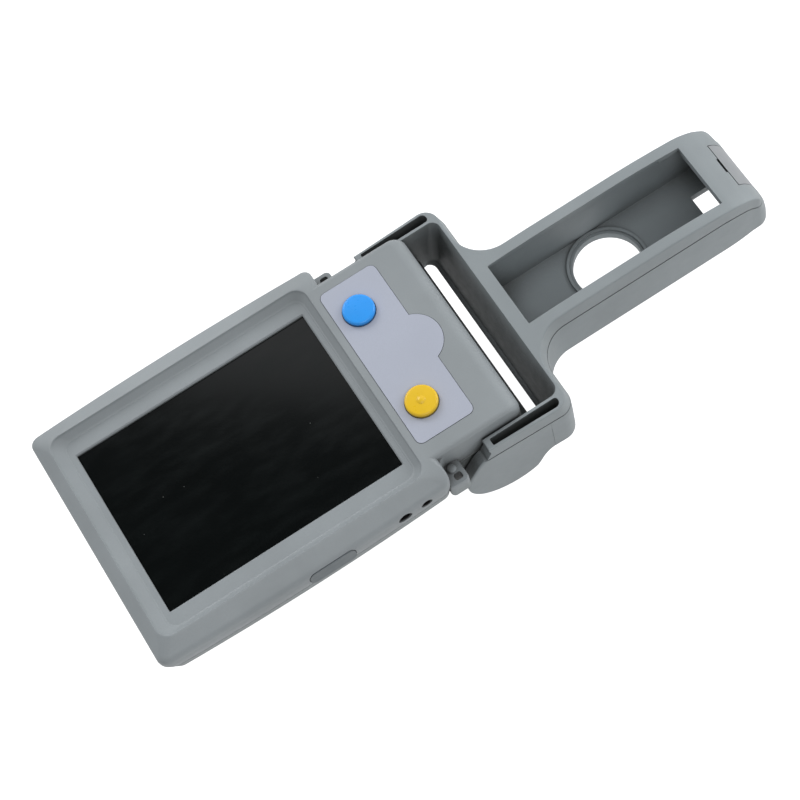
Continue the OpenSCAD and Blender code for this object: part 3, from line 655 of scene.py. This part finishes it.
def front_housing():
    """Outer wall from the joint up and over the rim, down to the frame and the screen, then the inside."""
    # (half width, its height, left end, its height, right end, its height, corner radius, bow)
    stations = [
        (36.35, SPLIT_Z, -42.75, SPLIT_Z, 42.7, SPLIT_Z, 2.8, 0.9),
        (36.4, 7.42, -42.8, 7.42, 42.7, 7.42, 2.8, 0.9),
        (36.65, 7.55, -43.05, 7.55, 43.0, 7.55, 2.9, 0.9),
        (37.15, 9.4, -43.42, 9.4, 43.0, 9.4, 2.9, 0.9),
        (37.55, 11.3, -43.78, 11.3, 43.0, 11.3, 2.8, 0.9),
        (37.75, 12.4, -43.98, 12.4, 43.0, 12.4, 2.7, 0.9),
        (37.82, 13.3, -44.05, 13.3, 43.0, 13.3, 2.6, 0.9),
        (37.85, 14.7, -44.08, 15.0, 43.0, 15.2, 2.6, 0.85),
        (37.8, 15.3, -44.02, 15.55, 43.0, 16.2, 2.6, 0.85),
        (37.6, 15.85, -43.75, 16.1, 42.97, 16.9, 2.6, 0.85),
        (37.2, 16.35, -43.3, 16.6, 42.86, 17.5, 2.7, 0.85),
        (36.6, 16.76, -42.75, 16.95, 42.6, 18.05, 2.8, 0.85),
        (35.8, 17.16, -42.15, 17.45, 42.2, 18.45, 3.1, 0.8),
        (34.6, 17.79, -41.5, 18.0, 41.6, 18.75, 3.4, 0.45),
        (33.1, 18.57, -40.8, 18.56, 40.9, 18.88, 3.8, 0.1),
        (32.6, 18.82, -40.5, 18.82, 39.3, RIM_Z, 4.0, 0.0),
        (32.38, 18.88, -40.32, 18.88, 38.95, RIM_Z, 4.0, 0.0),
        (32.28, 18.85, -40.2, 18.85, 38.85, 18.87, 3.95, 0.0),
        (32.21, 18.74, -40.1, 18.74, 38.76, 18.76, 3.9, 0.0),
        (32.1, 18.44, -39.9, 18.44, 38.62, 18.44, 3.85, 0.0),
        (31.95, 18.2, -39.65, 18.2, 38.46, 18.2, 3.75, 0.0),
        (30.55, 16.78, -37.25, 16.78, 37.05, 16.78, 2.95, 0.0),
        (30.42, 16.75, -37.0, 16.75, 36.9, 16.75, 2.9, 0.0),
        (30.26, 16.68, -36.84, 16.68, 36.74, 16.68, 2.82, 0.0),
        (30.08, FRAME_Z, -36.66, FRAME_Z, 36.56, FRAME_Z, 2.72, 0.0),
        (25.98, FRAME_Z, -35.38, FRAME_Z, 35.38, FRAME_Z, 0.4, 0.0),
        (25.64, 16.16, -35.04, 16.16, 35.04, 16.16, 0.22, 0.0),
        (SCREEN_HW, 16.05, -SCREEN_HL, 16.05, SCREEN_HL, 16.05, 0.2, 0.0),
        (SCREEN_HW, LIP_Z, -SCREEN_HL, LIP_Z, SCREEN_HL, LIP_Z, 0.2, 0.0),
        (34.9, LIP_Z, -42.2, LIP_Z, 41.2, LIP_Z, 2.0, 0.0),
        (34.9, SPLIT_Z, -42.2, SPLIT_Z, 41.2, SPLIT_Z, 2.0, 0.0),
    ]
    loops = [ring(y, zy, x0, z0, x1, z1, r, bow=b) for y, zy, x0, z0, x1, z1, r, b in stations]
    body = loft("front_body", loops, closed=True)

    neck_loops = []
    for z, groove in ((SPLIT_Z, 0.3), (7.42, 0.3), (7.55, 0.0), (11.0, 0.0), (RIM_Z - NECK_ROLL, 0.0)):
        neck_loops.append(neck_ring(z, NECK_HW - groove, NECK_END - groove, NECK_CORNER))
    for i in range(1, 15):
        a = math.radians(90 * i / 14)
        z = RIM_Z - NECK_ROLL + NECK_ROLL * math.sin(a)
        x1 = NECK_END - NECK_ROLL + NECK_ROLL * math.cos(a)
        drop = max(0.0, z - (RIM_Z - NECK_EDGE))
        inset = NECK_EDGE - math.sqrt(max(0.0, NECK_EDGE ** 2 - drop ** 2))
        neck_loops.append(neck_ring(z, NECK_HW - inset, x1, max(0.9, NECK_CORNER - 0.5 * inset)))
    join(body, loft("front_neck", neck_loops))
    cut(body, neck_hollow(6, NECK_CEILING_Z))

    for x, y in BODY_SCREWS:
        top = 17.3 if x > 41.2 else 15.8
        join(body, rod_z(x, y, 1.9, 7.25, top, 24))
    for x, y in [(44.2, 8), (44.2, -8), (60, 19), (60, -19)]:
        join(body, rod_z(x, y, 1.2, 13.2, 17.3, 20))

    # strap eyelets and posts in the notches beside the neck
    def upper_eyelet():
        return eyelet([(SPLIT_Z, 0, 0), (9.6, 0, 0), (9.85, 0.03, 0.03), (10.0, 0.09, 0.07)])

    def post():
        profile = [(0, 9.0), (1.45, 9.0), (1.4, 10.2), (1.3, 10.5), (1.1, 10.75), (0.7, 10.88), (0, 10.9)]
        return turned("post", profile, 45.3, 31.5, 32)

    join(body, *mirrored(upper_eyelet))
    join(body, *mirrored(post))

    # webs that fill the inner corner between the body and the neck
    def web():
        plan = [(42.6, 29.5), (42.6, 31.9)] + arc(44.9, 31.9, 1.95, 180, 270, 8) + [(44.9, 29.5)]
        return prism(plan, 7.3, 16.4)

    join(body, *mirrored(web))

    # recess for the button plate, holes for the buttons and sockets
    plate = round_plan(PLATE_X0, PLATE_X1, PLATE_Y0, PLATE_Y1, PLATE_CORNER)
    cut(body, prism(plate, PLATE_Z, 20), rod_z(BUMP_X, BUMP_Y, BUMP_R, PLATE_Z, 20, 64))
    for y in KEYS.values():
        cut(body, rod_z(KEY_X, y, KEY_R + KEY_GAP, 15, 20, 64))
    slot = round_plan(POWER_X - POWER_HL, POWER_X + POWER_HL, POWER_Z0, POWER_Z1, 1.9)
    cut(body, side_prism(slot, -42, -30))
    for x, r in ((CHARGE_X, CHARGE_OPENING_R), (VIDEO_X, VIDEO_OPENING_R)):
        cut(body, rod_y(x, SOCKET_Z, r, -40, -30, 40))
    for x, y in BODY_SCREWS:
        cut(body, rod_z(x, y, THREAD_HOLE_R, 6, 14, 20))
    finish_piece(body, "front_housing", "screen_body", "shell_front")


# ---- Rear housing ----

def rear_housing():
    """Closed tray from the joint down to the back face, with the hinge barrel under the neck."""
    stations = [
        (36.35, SPLIT_Z, -42.75, SPLIT_Z, 42.7, SPLIT_Z, 2.8, 0.9),
        (36.33, 6.98, -42.72, 6.98, 42.7, 6.98, 2.8, 0.9),
        (36.5, 6.85, -42.98, 6.85, 43.0, 6.85, 3.0, 0.9),
        (35.9, 4.1, -42.5, 4.1, 43.0, 4.1, 3.0, 0.95),
        (35.4, 1.8, -42.08, 1.8, 43.0, 1.8, 3.0, 1.0),
        (35.2, 1.25, -41.9, 1.25, 42.95, 1.25, 3.0, 1.05),
        (34.8, 0.7, -41.45, 0.7, 42.75, 0.72, 3.0, 1.1),
        (34.3, 0.28, -40.95, 0.28, 42.35, 0.3, 2.8, 0.95),
        (33.75, 0.0, -40.4, 0.0, 41.8, 0.0, 2.6, 0.8),
    ]
    loops = [ring(y, zy, x0, z0, x1, z1, r, bow=b) for y, zy, x0, z0, x1, z1, r, b in stations]
    body = loft("rear_body", loops)

    loops = []
    for z, groove in ((SPLIT_Z, 0.3), (6.98, 0.3), (6.85, 0.0), (5.2, 0.0), (3.7, 0.0)):
        corner = table(z, [(3.7, 1.2), (6.85, NECK_CORNER)])
        loops.append(neck_ring(z, NECK_HW - groove, NECK_END - groove, corner))
    start = math.degrees(math.acos((NECK_END - AXIS_X) / BARREL_R))
    flat = math.degrees(math.asin(-AXIS_Z / BARREL_R))
    for i in range(1, 5):
        a = math.radians(lerp(start, flat, i / 4))
        z = AXIS_Z + BARREL_R * math.sin(a)
        loops.append(neck_ring(z, NECK_HW, AXIS_X + BARREL_R * math.cos(a), 0.8))
    for i in range(0, 27):
        a = math.radians(lerp(flat, -88, i / 26))
        z = AXIS_Z + BARREL_R * math.sin(a)
        half = BARREL_R * math.cos(a)
        edge = min(0.6, 0.4 * half)
        loops.append(ring(NECK_HW, z, AXIS_X - half, z, AXIS_X + half, z, edge))
    join(body, loft("rear_neck", loops))

    # shallow step that keeps the flat back face clear of the barrel
    cut(body, box(48.6, 49.75, -50, 50, -1, 0.4))

    hollow = [ring(33.3, z, -40.4, z, 41.2, z, 2.0) for z in (1.8, 8.0)]
    cut(body, loft("rear_hollow", hollow), neck_hollow(1.8, 8.0))
    cut(body, rod_y(AXIS_X, AXIS_Z, BARREL_HOLLOW_R, -22.4, 22.4))

    for x, y in BODY_SCREWS:
        join(body, rod_z(x, y, 2.15, 1.0, 7.15, 24))
    for x in (-33, 33):
        for y in (-26, 26):
            join(body, rod_z(x, y, 1.6, 1.0, 8.6, 20))

    def lower_eyelet():
        return eyelet([(3.8, 0.09, 0.07), (3.95, 0.03, 0.03), (4.2, 0, 0), (SPLIT_Z, 0, 0)])

    join(body, *mirrored(lower_eyelet))

    # lug that the handle's catch holds
    lug_x = 2 * AXIS_X - CATCH_X
    join(body, box(lug_x - 2.6, lug_x + 3, -3.2, 3.2, -6, 1.0))
    hook = [(lug_x - 2.5, -5.4), (lug_x - 3.2, -5.5), (lug_x - 2.9, -6), (lug_x - 2.5, -6)]
    join(body, side_prism(hook, -3.2, 3.2))

    cut(body, *mirrored(lambda: rod_y(AXIS_X, AXIS_Z, BUSH_R, 20, 31, 48)))
    for x, y in BODY_SCREWS:
        cut(body, rod_z(x, y, SHANK_HOLE_R, -1, 8, 20), rod_z(x, y, HEAD_HOLE_R, -1, 1.8, 32))
    cut(body, rod_z(CAMERA_X, 0, CAMERA_SEAT_R, -1, 1.2, 48), rod_z(CAMERA_X, 0, CAMERA_HOLE_R, -1, 3, 48))
    cut(body, *mirrored(lambda: rod_z(CAMERA_X, LAMP_Y, LAMP_HOLE_R, -1, 3, 32)))
    finish_piece(body, "rear_housing", "screen_body", "shell_rear")


# ---- Handle ----

def flare(x):
    """How far the arms' outer faces stand in from their full width at the yoke."""
    return ARM_FLARE * min(1.0, max(0.0, (YOKE_X1 - YOKE_R - x) / 33))


def handle_outline(inset, start_x, lean=0.0):
    """Plan of the handle: yoke, hollow fillet, long grip and rounded end."""
    x1 = YOKE_X1 - lean
    half = [(x, ARM_OUT - flare(x) - inset) for x, _ in line((start_x, 0), (x1 - YOKE_R, 0), 8)]
    half.insert(0, (start_x, ARM_OUT - flare(start_x) - inset))
    half += arc(x1 - YOKE_R, ARM_OUT - YOKE_R, YOKE_R - inset, 90, 0, 10)
    knee = (x1 + FILLET_R, GRIP_HW + FILLET_R)
    half += line(half[-1], (x1 - inset, knee[1]), 4)
    half += arc(knee[0], knee[1], FILLET_R + inset, 180, 270, 16)
    half += line((knee[0], GRIP_HW - inset), (144, GRIP_HW - inset), 14)
    half += [(144, GRIP_HW - inset), (146, GRIP_HW - 0.05 - inset), (148, GRIP_HW - 0.15 - inset),
             (150, GRIP_HW - 0.3 - inset), (152.2, GRIP_HW - 0.55 - inset)]
    centre = (GRIP_END - GRIP_END_R, GRIP_HW - 4.8)
    half += arc(centre[0], centre[1], GRIP_END_R - inset, 84, 0, 10)
    half += line((GRIP_END - inset, centre[1]), (GRIP_END - inset, 0), 5)
    half += [(GRIP_END - inset, 0.0)]
    return half + [(x, -y) for x, y in reversed(half[:-1])]


TOP_EDGE = 0.5
BOTTOM_EDGE = 0.7
REAR_PROUD = 0.12
DRAFT = 0.22


def front_levels():
    """(height, inset, lean) of the front shell, from the joint to the window face."""
    rows = [(SHELL_SPLIT, 0.08, 0.0), (GRIP_TOP - TOP_EDGE, DRAFT, YOKE_LEAN)]
    for i in range(1, 8):
        a = math.radians(90 * i / 7)
        inset = DRAFT + TOP_EDGE * (1 - math.cos(a))
        rows.append((GRIP_TOP - TOP_EDGE + TOP_EDGE * math.sin(a), inset, YOKE_LEAN))
    return rows


def rear_levels():
    """(height, inset) of the rear shell, from the underside to the joint."""
    rows = []
    for i in range(8):
        a = math.radians(90 * (1 - i / 7))
        inset = BOTTOM_EDGE * (1 - math.cos(a)) - REAR_PROUD
        rows.append((GRIP_BOTTOM + BOTTOM_EDGE * (1 - math.sin(a)), inset))
    return rows + [(-2.0, -REAR_PROUD), (3.0, -REAR_PROUD), (SHELL_SPLIT, 0.0)]


# How far the window face lies below its highest part: level arms, crowned grip
CROWN = [(40, 1.1), (76, 1.1), (79, 0.95), (84, 0.5), (90, 0.18), (98, 0.0),
         (126, 0.0), (132, 0.22), (138, 0.65), (NOSE_X, 1.15)]
# Curves of the drooping end: position along the handle against the place it is bent to
NOSE_TOP = smooth_path([(NOSE_X, 13.05), (145.3, 12.75), (147, 12.35), (150.5, 11.05), (153.3, 9.1),
                        (155.2, 6.6), (156.35, 4.2)], 8)
NOSE_SPLIT = [(NOSE_X, 8.0), (147, 7.35), (150, 6.4), (152, 5.3), (154, 3.95), (156, 3.2), (GRIP_END, 3.0)]


def nose_top(s):
    lengths = [0.0]
    for p, q in zip(NOSE_TOP, NOSE_TOP[1:]):
        lengths.append(lengths[-1] + math.dist(p, q))
    want = (s - NOSE_X) / (GRIP_END - NOSE_X) * lengths[-1]
    rows_x = [(a, p[0]) for a, p in zip(lengths, NOSE_TOP)]
    rows_z = [(a, p[1]) for a, p in zip(lengths, NOSE_TOP)]
    return table(want, rows_x), table(want, rows_z)


def nose_split(s):
    lean = 1.65 * max(0.0, (s - 149) / (GRIP_END - 149)) ** 2
    return s - lean, table(s, NOSE_SPLIT)


def bend_front(x, z):
    u = (z - SHELL_SPLIT) / (GRIP_TOP - SHELL_SPLIT)
    if x <= NOSE_X:
        return x, z - u * table(x, CROWN)
    (xa, za), (xb, zb) = nose_split(x), nose_top(x)
    return lerp(xa, xb, u), lerp(za, zb, u)


def bend_rear(x, z):
    if x <= NOSE_X:
        return x, z
    u = (z - GRIP_BOTTOM) / (SHELL_SPLIT - GRIP_BOTTOM)
    xb, zb = nose_split(x)
    return lerp(x, xb, u ** 2.2 if u > 0 else 0.0), lerp(GRIP_BOTTOM, zb, u)


def bend_nose(obj, bend):
    bm = bmesh.new()
    bm.from_mesh(obj.data)
    for x in [76, 77.5, 79, 81.5, 84, 87, 90, 94, 98, 126, 129, 132, 135, 138, 140.5] + [
            NOSE_X + 0.75 * i for i in range(21)]:
        geom = bm.verts[:] + bm.edges[:] + bm.faces[:]
        bmesh.ops.bisect_plane(bm, geom=geom, dist=1e-5, plane_co=(x, 0, 0), plane_no=(1, 0, 0))
    for v in bm.verts:
        v.co.x, v.co.z = bend(v.co.x, v.co.z)
    bm.to_mesh(obj.data)
    bm.free()
    return obj


def joint_groove(start_x):
    """Ring that trims a fine line round the handle where its two shells meet."""
    outer, inner = handle_outline(-1.0, start_x), handle_outline(0.5, start_x - 1)
    z0, z1 = SHELL_SPLIT - 0.2, SHELL_SPLIT + 0.2
    loops = [[(x, y, z0) for x, y in inner], [(x, y, z0) for x, y in outer],
             [(x, y, z1) for x, y in outer], [(x, y, z1) for x, y in inner]]
    return loft("groove", loops, closed=True)


def fork_opening():
    """Room for the neck between the arms. Its end wall leans back above a small lip."""
    wall = [(-9.0, 75.8), (GRIP_BOTTOM, 75.35), (-7.6, 75.3), (-7.1, 75.6), (-6.7, 76.4), (16.0, 79.85)]
    return loft("fork_opening", [ring(ARM_IN, z, 30.0, z, x1, z, 2.5, r0=0.5) for z, x1 in wall])


def arm_hollow():
    """Deep slot in the top of an arm, and the round pocket for the pin's head."""
    slot = [(57.4, 31.6), (57.6, 31.35)] + arc(77.0, 32.25, 0.9, -90, 0, 6) + arc(76.4, 32.4, 1.5, 0, 86, 8)
    slot += [(57.6, 33.45), (57.4, 33.2)]
    solid = prism(slot, -2, 20)
    join(solid, rod_y(AXIS_X, AXIS_Z, PIN_HEAD_R, 31.6, 33.0))
    return solid


def taper_arm(obj):
    """The arm narrows towards its end, and its lobe leans in below a slanting crease."""
    crease, down = Vector((48.3, 0, -5.0)), Vector((-0.381, 0, -0.924))
    bm = bmesh.new()
    bm.from_mesh(obj.data)
    geom = bm.verts[:] + bm.edges[:] + bm.faces[:]
    bmesh.ops.bisect_plane(bm, geom=geom, dist=1e-5, plane_co=crease, plane_no=down)
    for v in bm.verts:
        if v.co.y > ARM_IN + 0.3:
            below = max(0.0, (v.co - crease).dot(down))
            limit = ARM_OUT - flare(v.co.x) - 0.05 * below
            v.co.y = ARM_IN + (v.co.y - ARM_IN) * (limit - ARM_IN) / (ARM_OUT - ARM_IN)
    bm.to_mesh(obj.data)
    bm.free()
    return obj


def inset_polygon(points, distance):
    """Moves every point of a counter-clockwise outline inwards."""
    out = []
    count = len(points)
    for i in range(count):
        a, b, c = Vector(points[i - 1]), Vector(points[i]), Vector(points[(i + 1) % count])
        d1, d2 = (b - a).normalized(), (c - b).normalized()
        n = Vector((-d1.y - d2.y, d1.x + d2.x))
        if n.length < 1e-6:
            n = Vector((-d1.y, d1.x))
        n.normalize()
        scale = 1 / max(0.35, n.dot(Vector((-d1.y, d1.x))))
        out.append(tuple(b + n * distance * scale))
    return out


def rear_arm():
    """Hinge arm below the joint: shoulder, round lobe and foot, with a softened outer edge."""
    shoulder = smooth_path([(53.7, 8.0), (52.9, 7.25), (52.0, 6.45), (51.1, 5.2)], 4)
    lobe = arc(AXIS_X, AXIS_Z, LOBE_R, 138, 306, 44)
    foot = [lobe[-1], (69.4, -12.3), (70.7, -10.3), (72.4, -8.85), (74.5, GRIP_BOTTOM)]
    profile = [(75.5, 9.5), (53.7, 9.5)] + shoulder + lobe[1:] + smooth_path(foot, 5)[1:]
    profile.append((75.5, GRIP_BOTTOM))
    edge = 0.75
    loops = [(ARM_IN, 0.0), (ARM_IN + 0.2, 0.0), (ARM_OUT - edge, 0.0)]
    for i in range(1, 6):
        a = math.radians(90 * i / 5)
        loops.append((ARM_OUT - edge + edge * math.sin(a), edge * (1 - math.cos(a))))
    rows = []
    for y, inset in loops:
        shape = inset_polygon(profile, inset) if inset else profile
        rows.append([(x, y, z) for x, z in shape])
    solid = taper_arm(loft("rear_arm", rows))
    return cut(solid, box(40, 90, 20, 40, SHELL_SPLIT, 20))


def grip_cavity(top):
    """Open inside of the grip. Above the joint its ceiling steps down under the drooping end."""
    blocks = [box(CAVITY_X0, CAVITY_X1, -CAVITY_HW, CAVITY_HW, FLOOR_TOP, top)]
    for x0, x1, ceiling in ((CAVITY_X0, 138, 12.4), (137, 144.5, 11.4), (144, 149.5, 9.9)):
        blocks.append(box(x0, x1, -CAVITY_HW, CAVITY_HW, SHELL_SPLIT - 1, ceiling))
    return blocks


def tab_room():
    half = TAB_HW + 0.17
    return [box(TAB_X0 - 0.2, GRIP_END + 2, -half, half, FLOOR_TOP, 20),
            box(HOOK_X - 0.25, TAB_X0 + 1, -half, half, FLOOR_TOP, 5.6),
            box(TAB_X0 - 0.7, TAB_X0, -2.4, 2.4, 5, 20),
            rod_y(TAB_AXIS_X, TAB_AXIS_Z, 0.9, -9, 9, 32)]


def release_tab():
    """Tab that carries on the curve of the grip's end, with its pin and hook."""
    path = []
    top_end = GRIP_END - front_levels()[-1][1]
    for i in range(13):
        path.append(bend_front(lerp(150.0, top_end, i / 12), GRIP_TOP))
    path += [bend_front(GRIP_END - inset, z) for z, inset, _ in reversed(front_levels()[:-1])]
    path += [bend_rear(GRIP_END - inset, z) for z, inset in reversed(rear_levels()[:-1]) if z > TAB_Z0]
    path += [(path[-1][0], TAB_Z0), (149.0, TAB_Z0), (149.0, 11.5)]
    body = side_prism(path, -TAB_HW, TAB_HW)
    cut(body, box(140, TAB_X0, -10, 10, -20, 20))
    cut(body, box(TAB_X0 - 1, TAB_X0 + 3.4, 1.6 - TAB_HW, TAB_HW - 1.6, -3.2, 4.6))
    hook = [(HOOK_X, -3.4), (HOOK_X, -4.0), (HOOK_X + 0.8, TAB_Z0), (TAB_X0 + 1, TAB_Z0), (TAB_X0 + 1, -3.4)]
    join(body, side_prism(hook, -3, 3), rod_y(TAB_AXIS_X, TAB_AXIS_Z, 0.85, -8.8, 8.8, 32))
    finish_piece(body, "release_tab", "release_tab", "tab_plastic")


def front_shell():
    loops = [[(x, y, z) for x, y in handle_outline(inset, 40, lean)] for z, inset, lean in front_levels()]
    body = loft("front_shell", loops)
    cut(body, joint_groove(38))
    bend_nose(body, bend_front)

    # square upper ends of the arms, with softened corners
    end = smooth_path([(54.0, 7.0), (54.9, 9.0), (55.75, 10.4), (55.95, 11.2)], 5)
    end += arc(55.95 + 0.35, GRIP_TOP - 1.65, 0.75, 180, 90, 5)
    blank = [(38, 6.5)] + [(x, z) for x, z in end] + [(56.3, 22), (38, 22)]
    cut(body, side_prism(blank, -40, 40))
    cut(body, fork_opening())
    cut(body, *grip_cavity(SHELL_SPLIT))
    cut(body, *mirrored(arm_hollow))
    join(body, box(149.1, 150.3, -3.4, 3.4, -1.6, 9.5))
    window = [ring(WINDOW_HW, z, WINDOW_X0, z, WINDOW_X1, z, 0.25) for z in (10, 20)]
    cut(body, loft("window", window))
    cut(body, *tab_room())
    for x, y, z in GRIP_SCREWS:
        cut(body, rod_z(x, y, THREAD_HOLE_R, 0, z + GRIP_SCREW_LEN + 0.4, 20))
    finish_piece(body, "handle_front_shell", "handle", "handle_shell")


def rear_shell():
    loops = [[(x, y, z) for x, y in handle_outline(inset, 73.6)] for z, inset in rear_levels()]
    body = loft("rear_shell", loops)
    join(body, *mirrored(rear_arm))
    cut(body, joint_groove(38))
    bend_nose(body, bend_rear)
    cut(body, fork_opening())
    cut(body, *grip_cavity(SHELL_SPLIT + 1))
    cut(body, *mirrored(arm_hollow))
    cut(body, *tab_room())
    join(body, rod_z(LENS_X, 0, CAVITY_HW - 0.05, FLOOR_TOP - 1, FLOOR_TOP + 0.6, 72))
    cut(body, rod_z(LENS_X, 0, LENS_HOLE_R + 0.9, FLOOR_TOP, 0, 72))
    cut(body, rod_z(LENS_X, 0, LENS_HOLE_R, -20, 0, 96))
    cut(body, box(CATCH_X - CATCH_HW, CATCH_X + CATCH_HW, -CATCH_HW, CATCH_HW, -20, 0))
    cut(body, *mirrored(lambda: rod_y(AXIS_X, AXIS_Z, PIN_R, 25, 32)))
    for x, y, z in GRIP_SCREWS:
        cut(body, rod_z(x, y, SHANK_HOLE_R, -20, 20, 20), rod_z(x, y, HEAD_HOLE_R, -20, z + 1.2, 32))
    finish_piece(body, "handle_rear_shell", "handle", "handle_shell")


# ---- Staging ----

# metres
FLOOR_HW, FLOOR_Z = 3.0, -0.0245
# strength of the floor's light on the object, and as the camera sees it
FLOOR_GLOW, FLOOR_SEEN = 0.37, 0.95
# where the camera stands in millimetres, how it is turned in degrees, and its lens in millimetres
CAMERA_PLACE = (-3.969, -229.136, 525.130)
CAMERA_TURN = (22.35584, 8.30526, -31.65336)
CAMERA_LENS = 96.518


def make_floor():
    """Pale plate that glows softly from below and lets a camera under it look through."""
    corners = [(x * FLOOR_HW, y * FLOOR_HW, FLOOR_Z) for x, y in ((-1, -1), (1, -1), (1, 1), (-1, 1))]
    mesh = bpy.data.meshes.new("floor")
    mesh.from_pydata(corners, [], [(0, 1, 2, 3)])
    floor = bpy.data.objects.new("floor", mesh)
    bpy.context.scene.collection.objects.link(floor)
    mat = bpy.data.materials.new("floor")
    mat.use_nodes = True
    tree = mat.node_tree
    tree.nodes.clear()
    add, link = tree.nodes.new, tree.links.new
    out = add("ShaderNodeOutputMaterial")
    glow, matt, both = add("ShaderNodeEmission"), add("ShaderNodeBsdfDiffuse"), add("ShaderNodeAddShader")
    seen, level = add("ShaderNodeLightPath"), add("ShaderNodeMapRange")
    link(seen.outputs["Is Camera Ray"], level.inputs["Value"])
    level.inputs["To Min"].default_value = FLOOR_GLOW
    level.inputs["To Max"].default_value = FLOOR_SEEN
    link(level.outputs["Result"], glow.inputs["Strength"])
    matt.inputs["Color"].default_value = (0.5, 0.5, 0.5, 1)
    see, side = add("ShaderNodeBsdfTransparent"), add("ShaderNodeNewGeometry")
    pick = add("ShaderNodeMixShader")
    link(glow.outputs[0], both.inputs[0])
    link(matt.outputs[0], both.inputs[1])
    link(side.outputs["Backfacing"], pick.inputs[0])
    link(both.outputs[0], pick.inputs[1])
    link(see.outputs[0], pick.inputs[2])
    link(pick.outputs[0], out.inputs["Surface"])
    mesh.materials.append(mat)


def make_world():
    """Soft white dome, brighter behind the object, with a dark patch that the screen mirrors."""
    world = bpy.data.worlds.new("studio")
    bpy.context.scene.world = world
    world.use_nodes = True
    tree = world.node_tree
    tree.nodes.clear()
    add, link = tree.nodes.new, tree.links.new
    out = add("ShaderNodeOutputWorld")
    coord = add("ShaderNodeTexCoord")

    def dot(direction):
        node = add("ShaderNodeVectorMath")
        node.operation = "DOT_PRODUCT"
        node.inputs[1].default_value = Vector(direction).normalized()
        link(coord.outputs["Generated"], node.inputs[0])
        return node.outputs["Value"]

    def span(value, a, b, low, high, smooth=True):
        node = add("ShaderNodeMapRange")
        node.interpolation_type = "SMOOTHSTEP" if smooth else "LINEAR"
        link(value, node.inputs["Value"])
        for key, number in (("From Min", a), ("From Max", b), ("To Min", low), ("To Max", high)):
            node.inputs[key].default_value = number
        return node.outputs["Result"]

    def maths(operation, a, b):
        node = add("ShaderNodeMath")
        node.operation = operation
        link(a, node.inputs[0])
        link(b, node.inputs[1])
        return node.outputs[0]

    # dim towards the front, bright behind, black where the screen mirrors it but for one corner
    side = span(dot((0.42, 0.9, 0.2)), -1.0, 1.0, 0.255, 0.75, False)
    patch = span(dot((-0.08, 0.33, 0.94)), 0.962, 0.985, 1.0, 0.03)
    corner = span(dot((0.53, 0.85, 0.0)), 0.374, 0.39, 0.0, 1.1)
    light = maths("MULTIPLY", side, maths("MAXIMUM", patch, corner))
    dome, sky = add("ShaderNodeBackground"), add("ShaderNodeBackground")
    mix, path = add("ShaderNodeMixShader"), add("ShaderNodeLightPath")
    dome.inputs["Color"].default_value = (0.97, 0.985, 1.0, 1)
    link(light, dome.inputs["Strength"])
    sky.inputs["Color"].default_value = (1, 1, 1, 1)
    link(path.outputs["Is Camera Ray"], mix.inputs[0])
    link(dome.outputs[0], mix.inputs[1])
    link(sky.outputs[0], mix.inputs[2])
    link(mix.outputs[0], out.inputs["Surface"])


def area_light(name, place, target, size, power):
    data = bpy.data.lights.new(name, "AREA")
    data.shape = "SQUARE"
    data.size = size
    data.energy = power
    obj = bpy.data.objects.new(name, data)
    obj.location = place
    obj.rotation_euler = (Vector(target) - Vector(place)).to_track_quat("-Z", "Y").to_euler()
    bpy.context.scene.collection.objects.link(obj)


def make_camera():
    data = bpy.data.cameras.new("camera")
    data.lens = CAMERA_LENS
    data.sensor_width = 36
    data.clip_start, data.clip_end = 0.01, 20
    obj = bpy.data.objects.new("camera", data)
    obj.location = Vector(CAMERA_PLACE) * MM
    obj.rotation_euler = Euler([math.radians(a) for a in CAMERA_TURN], "XYZ")
    bpy.context.scene.collection.objects.link(obj)
    bpy.context.scene.camera = obj


finish_cad_nodes()
front_housing()
rear_housing()
front_shell()
rear_shell()
release_tab()
make_floor()
make_world()
area_light("key", (-0.15, 0.85, 0.6), (0.05, 0, 0), 0.4, 3.2)
area_light("top_fill", (0.0, -0.5, 0.8), (0.05, 0, 0), 0.5, 1.75)
area_light("end_light", (0.75, -0.02, 0.3), (0.07, 0, 0), 0.4, 1.7)
make_camera()
bpy.context.scene.view_settings.view_transform = "Standard"
bpy.context.scene.view_settings.look = "None"
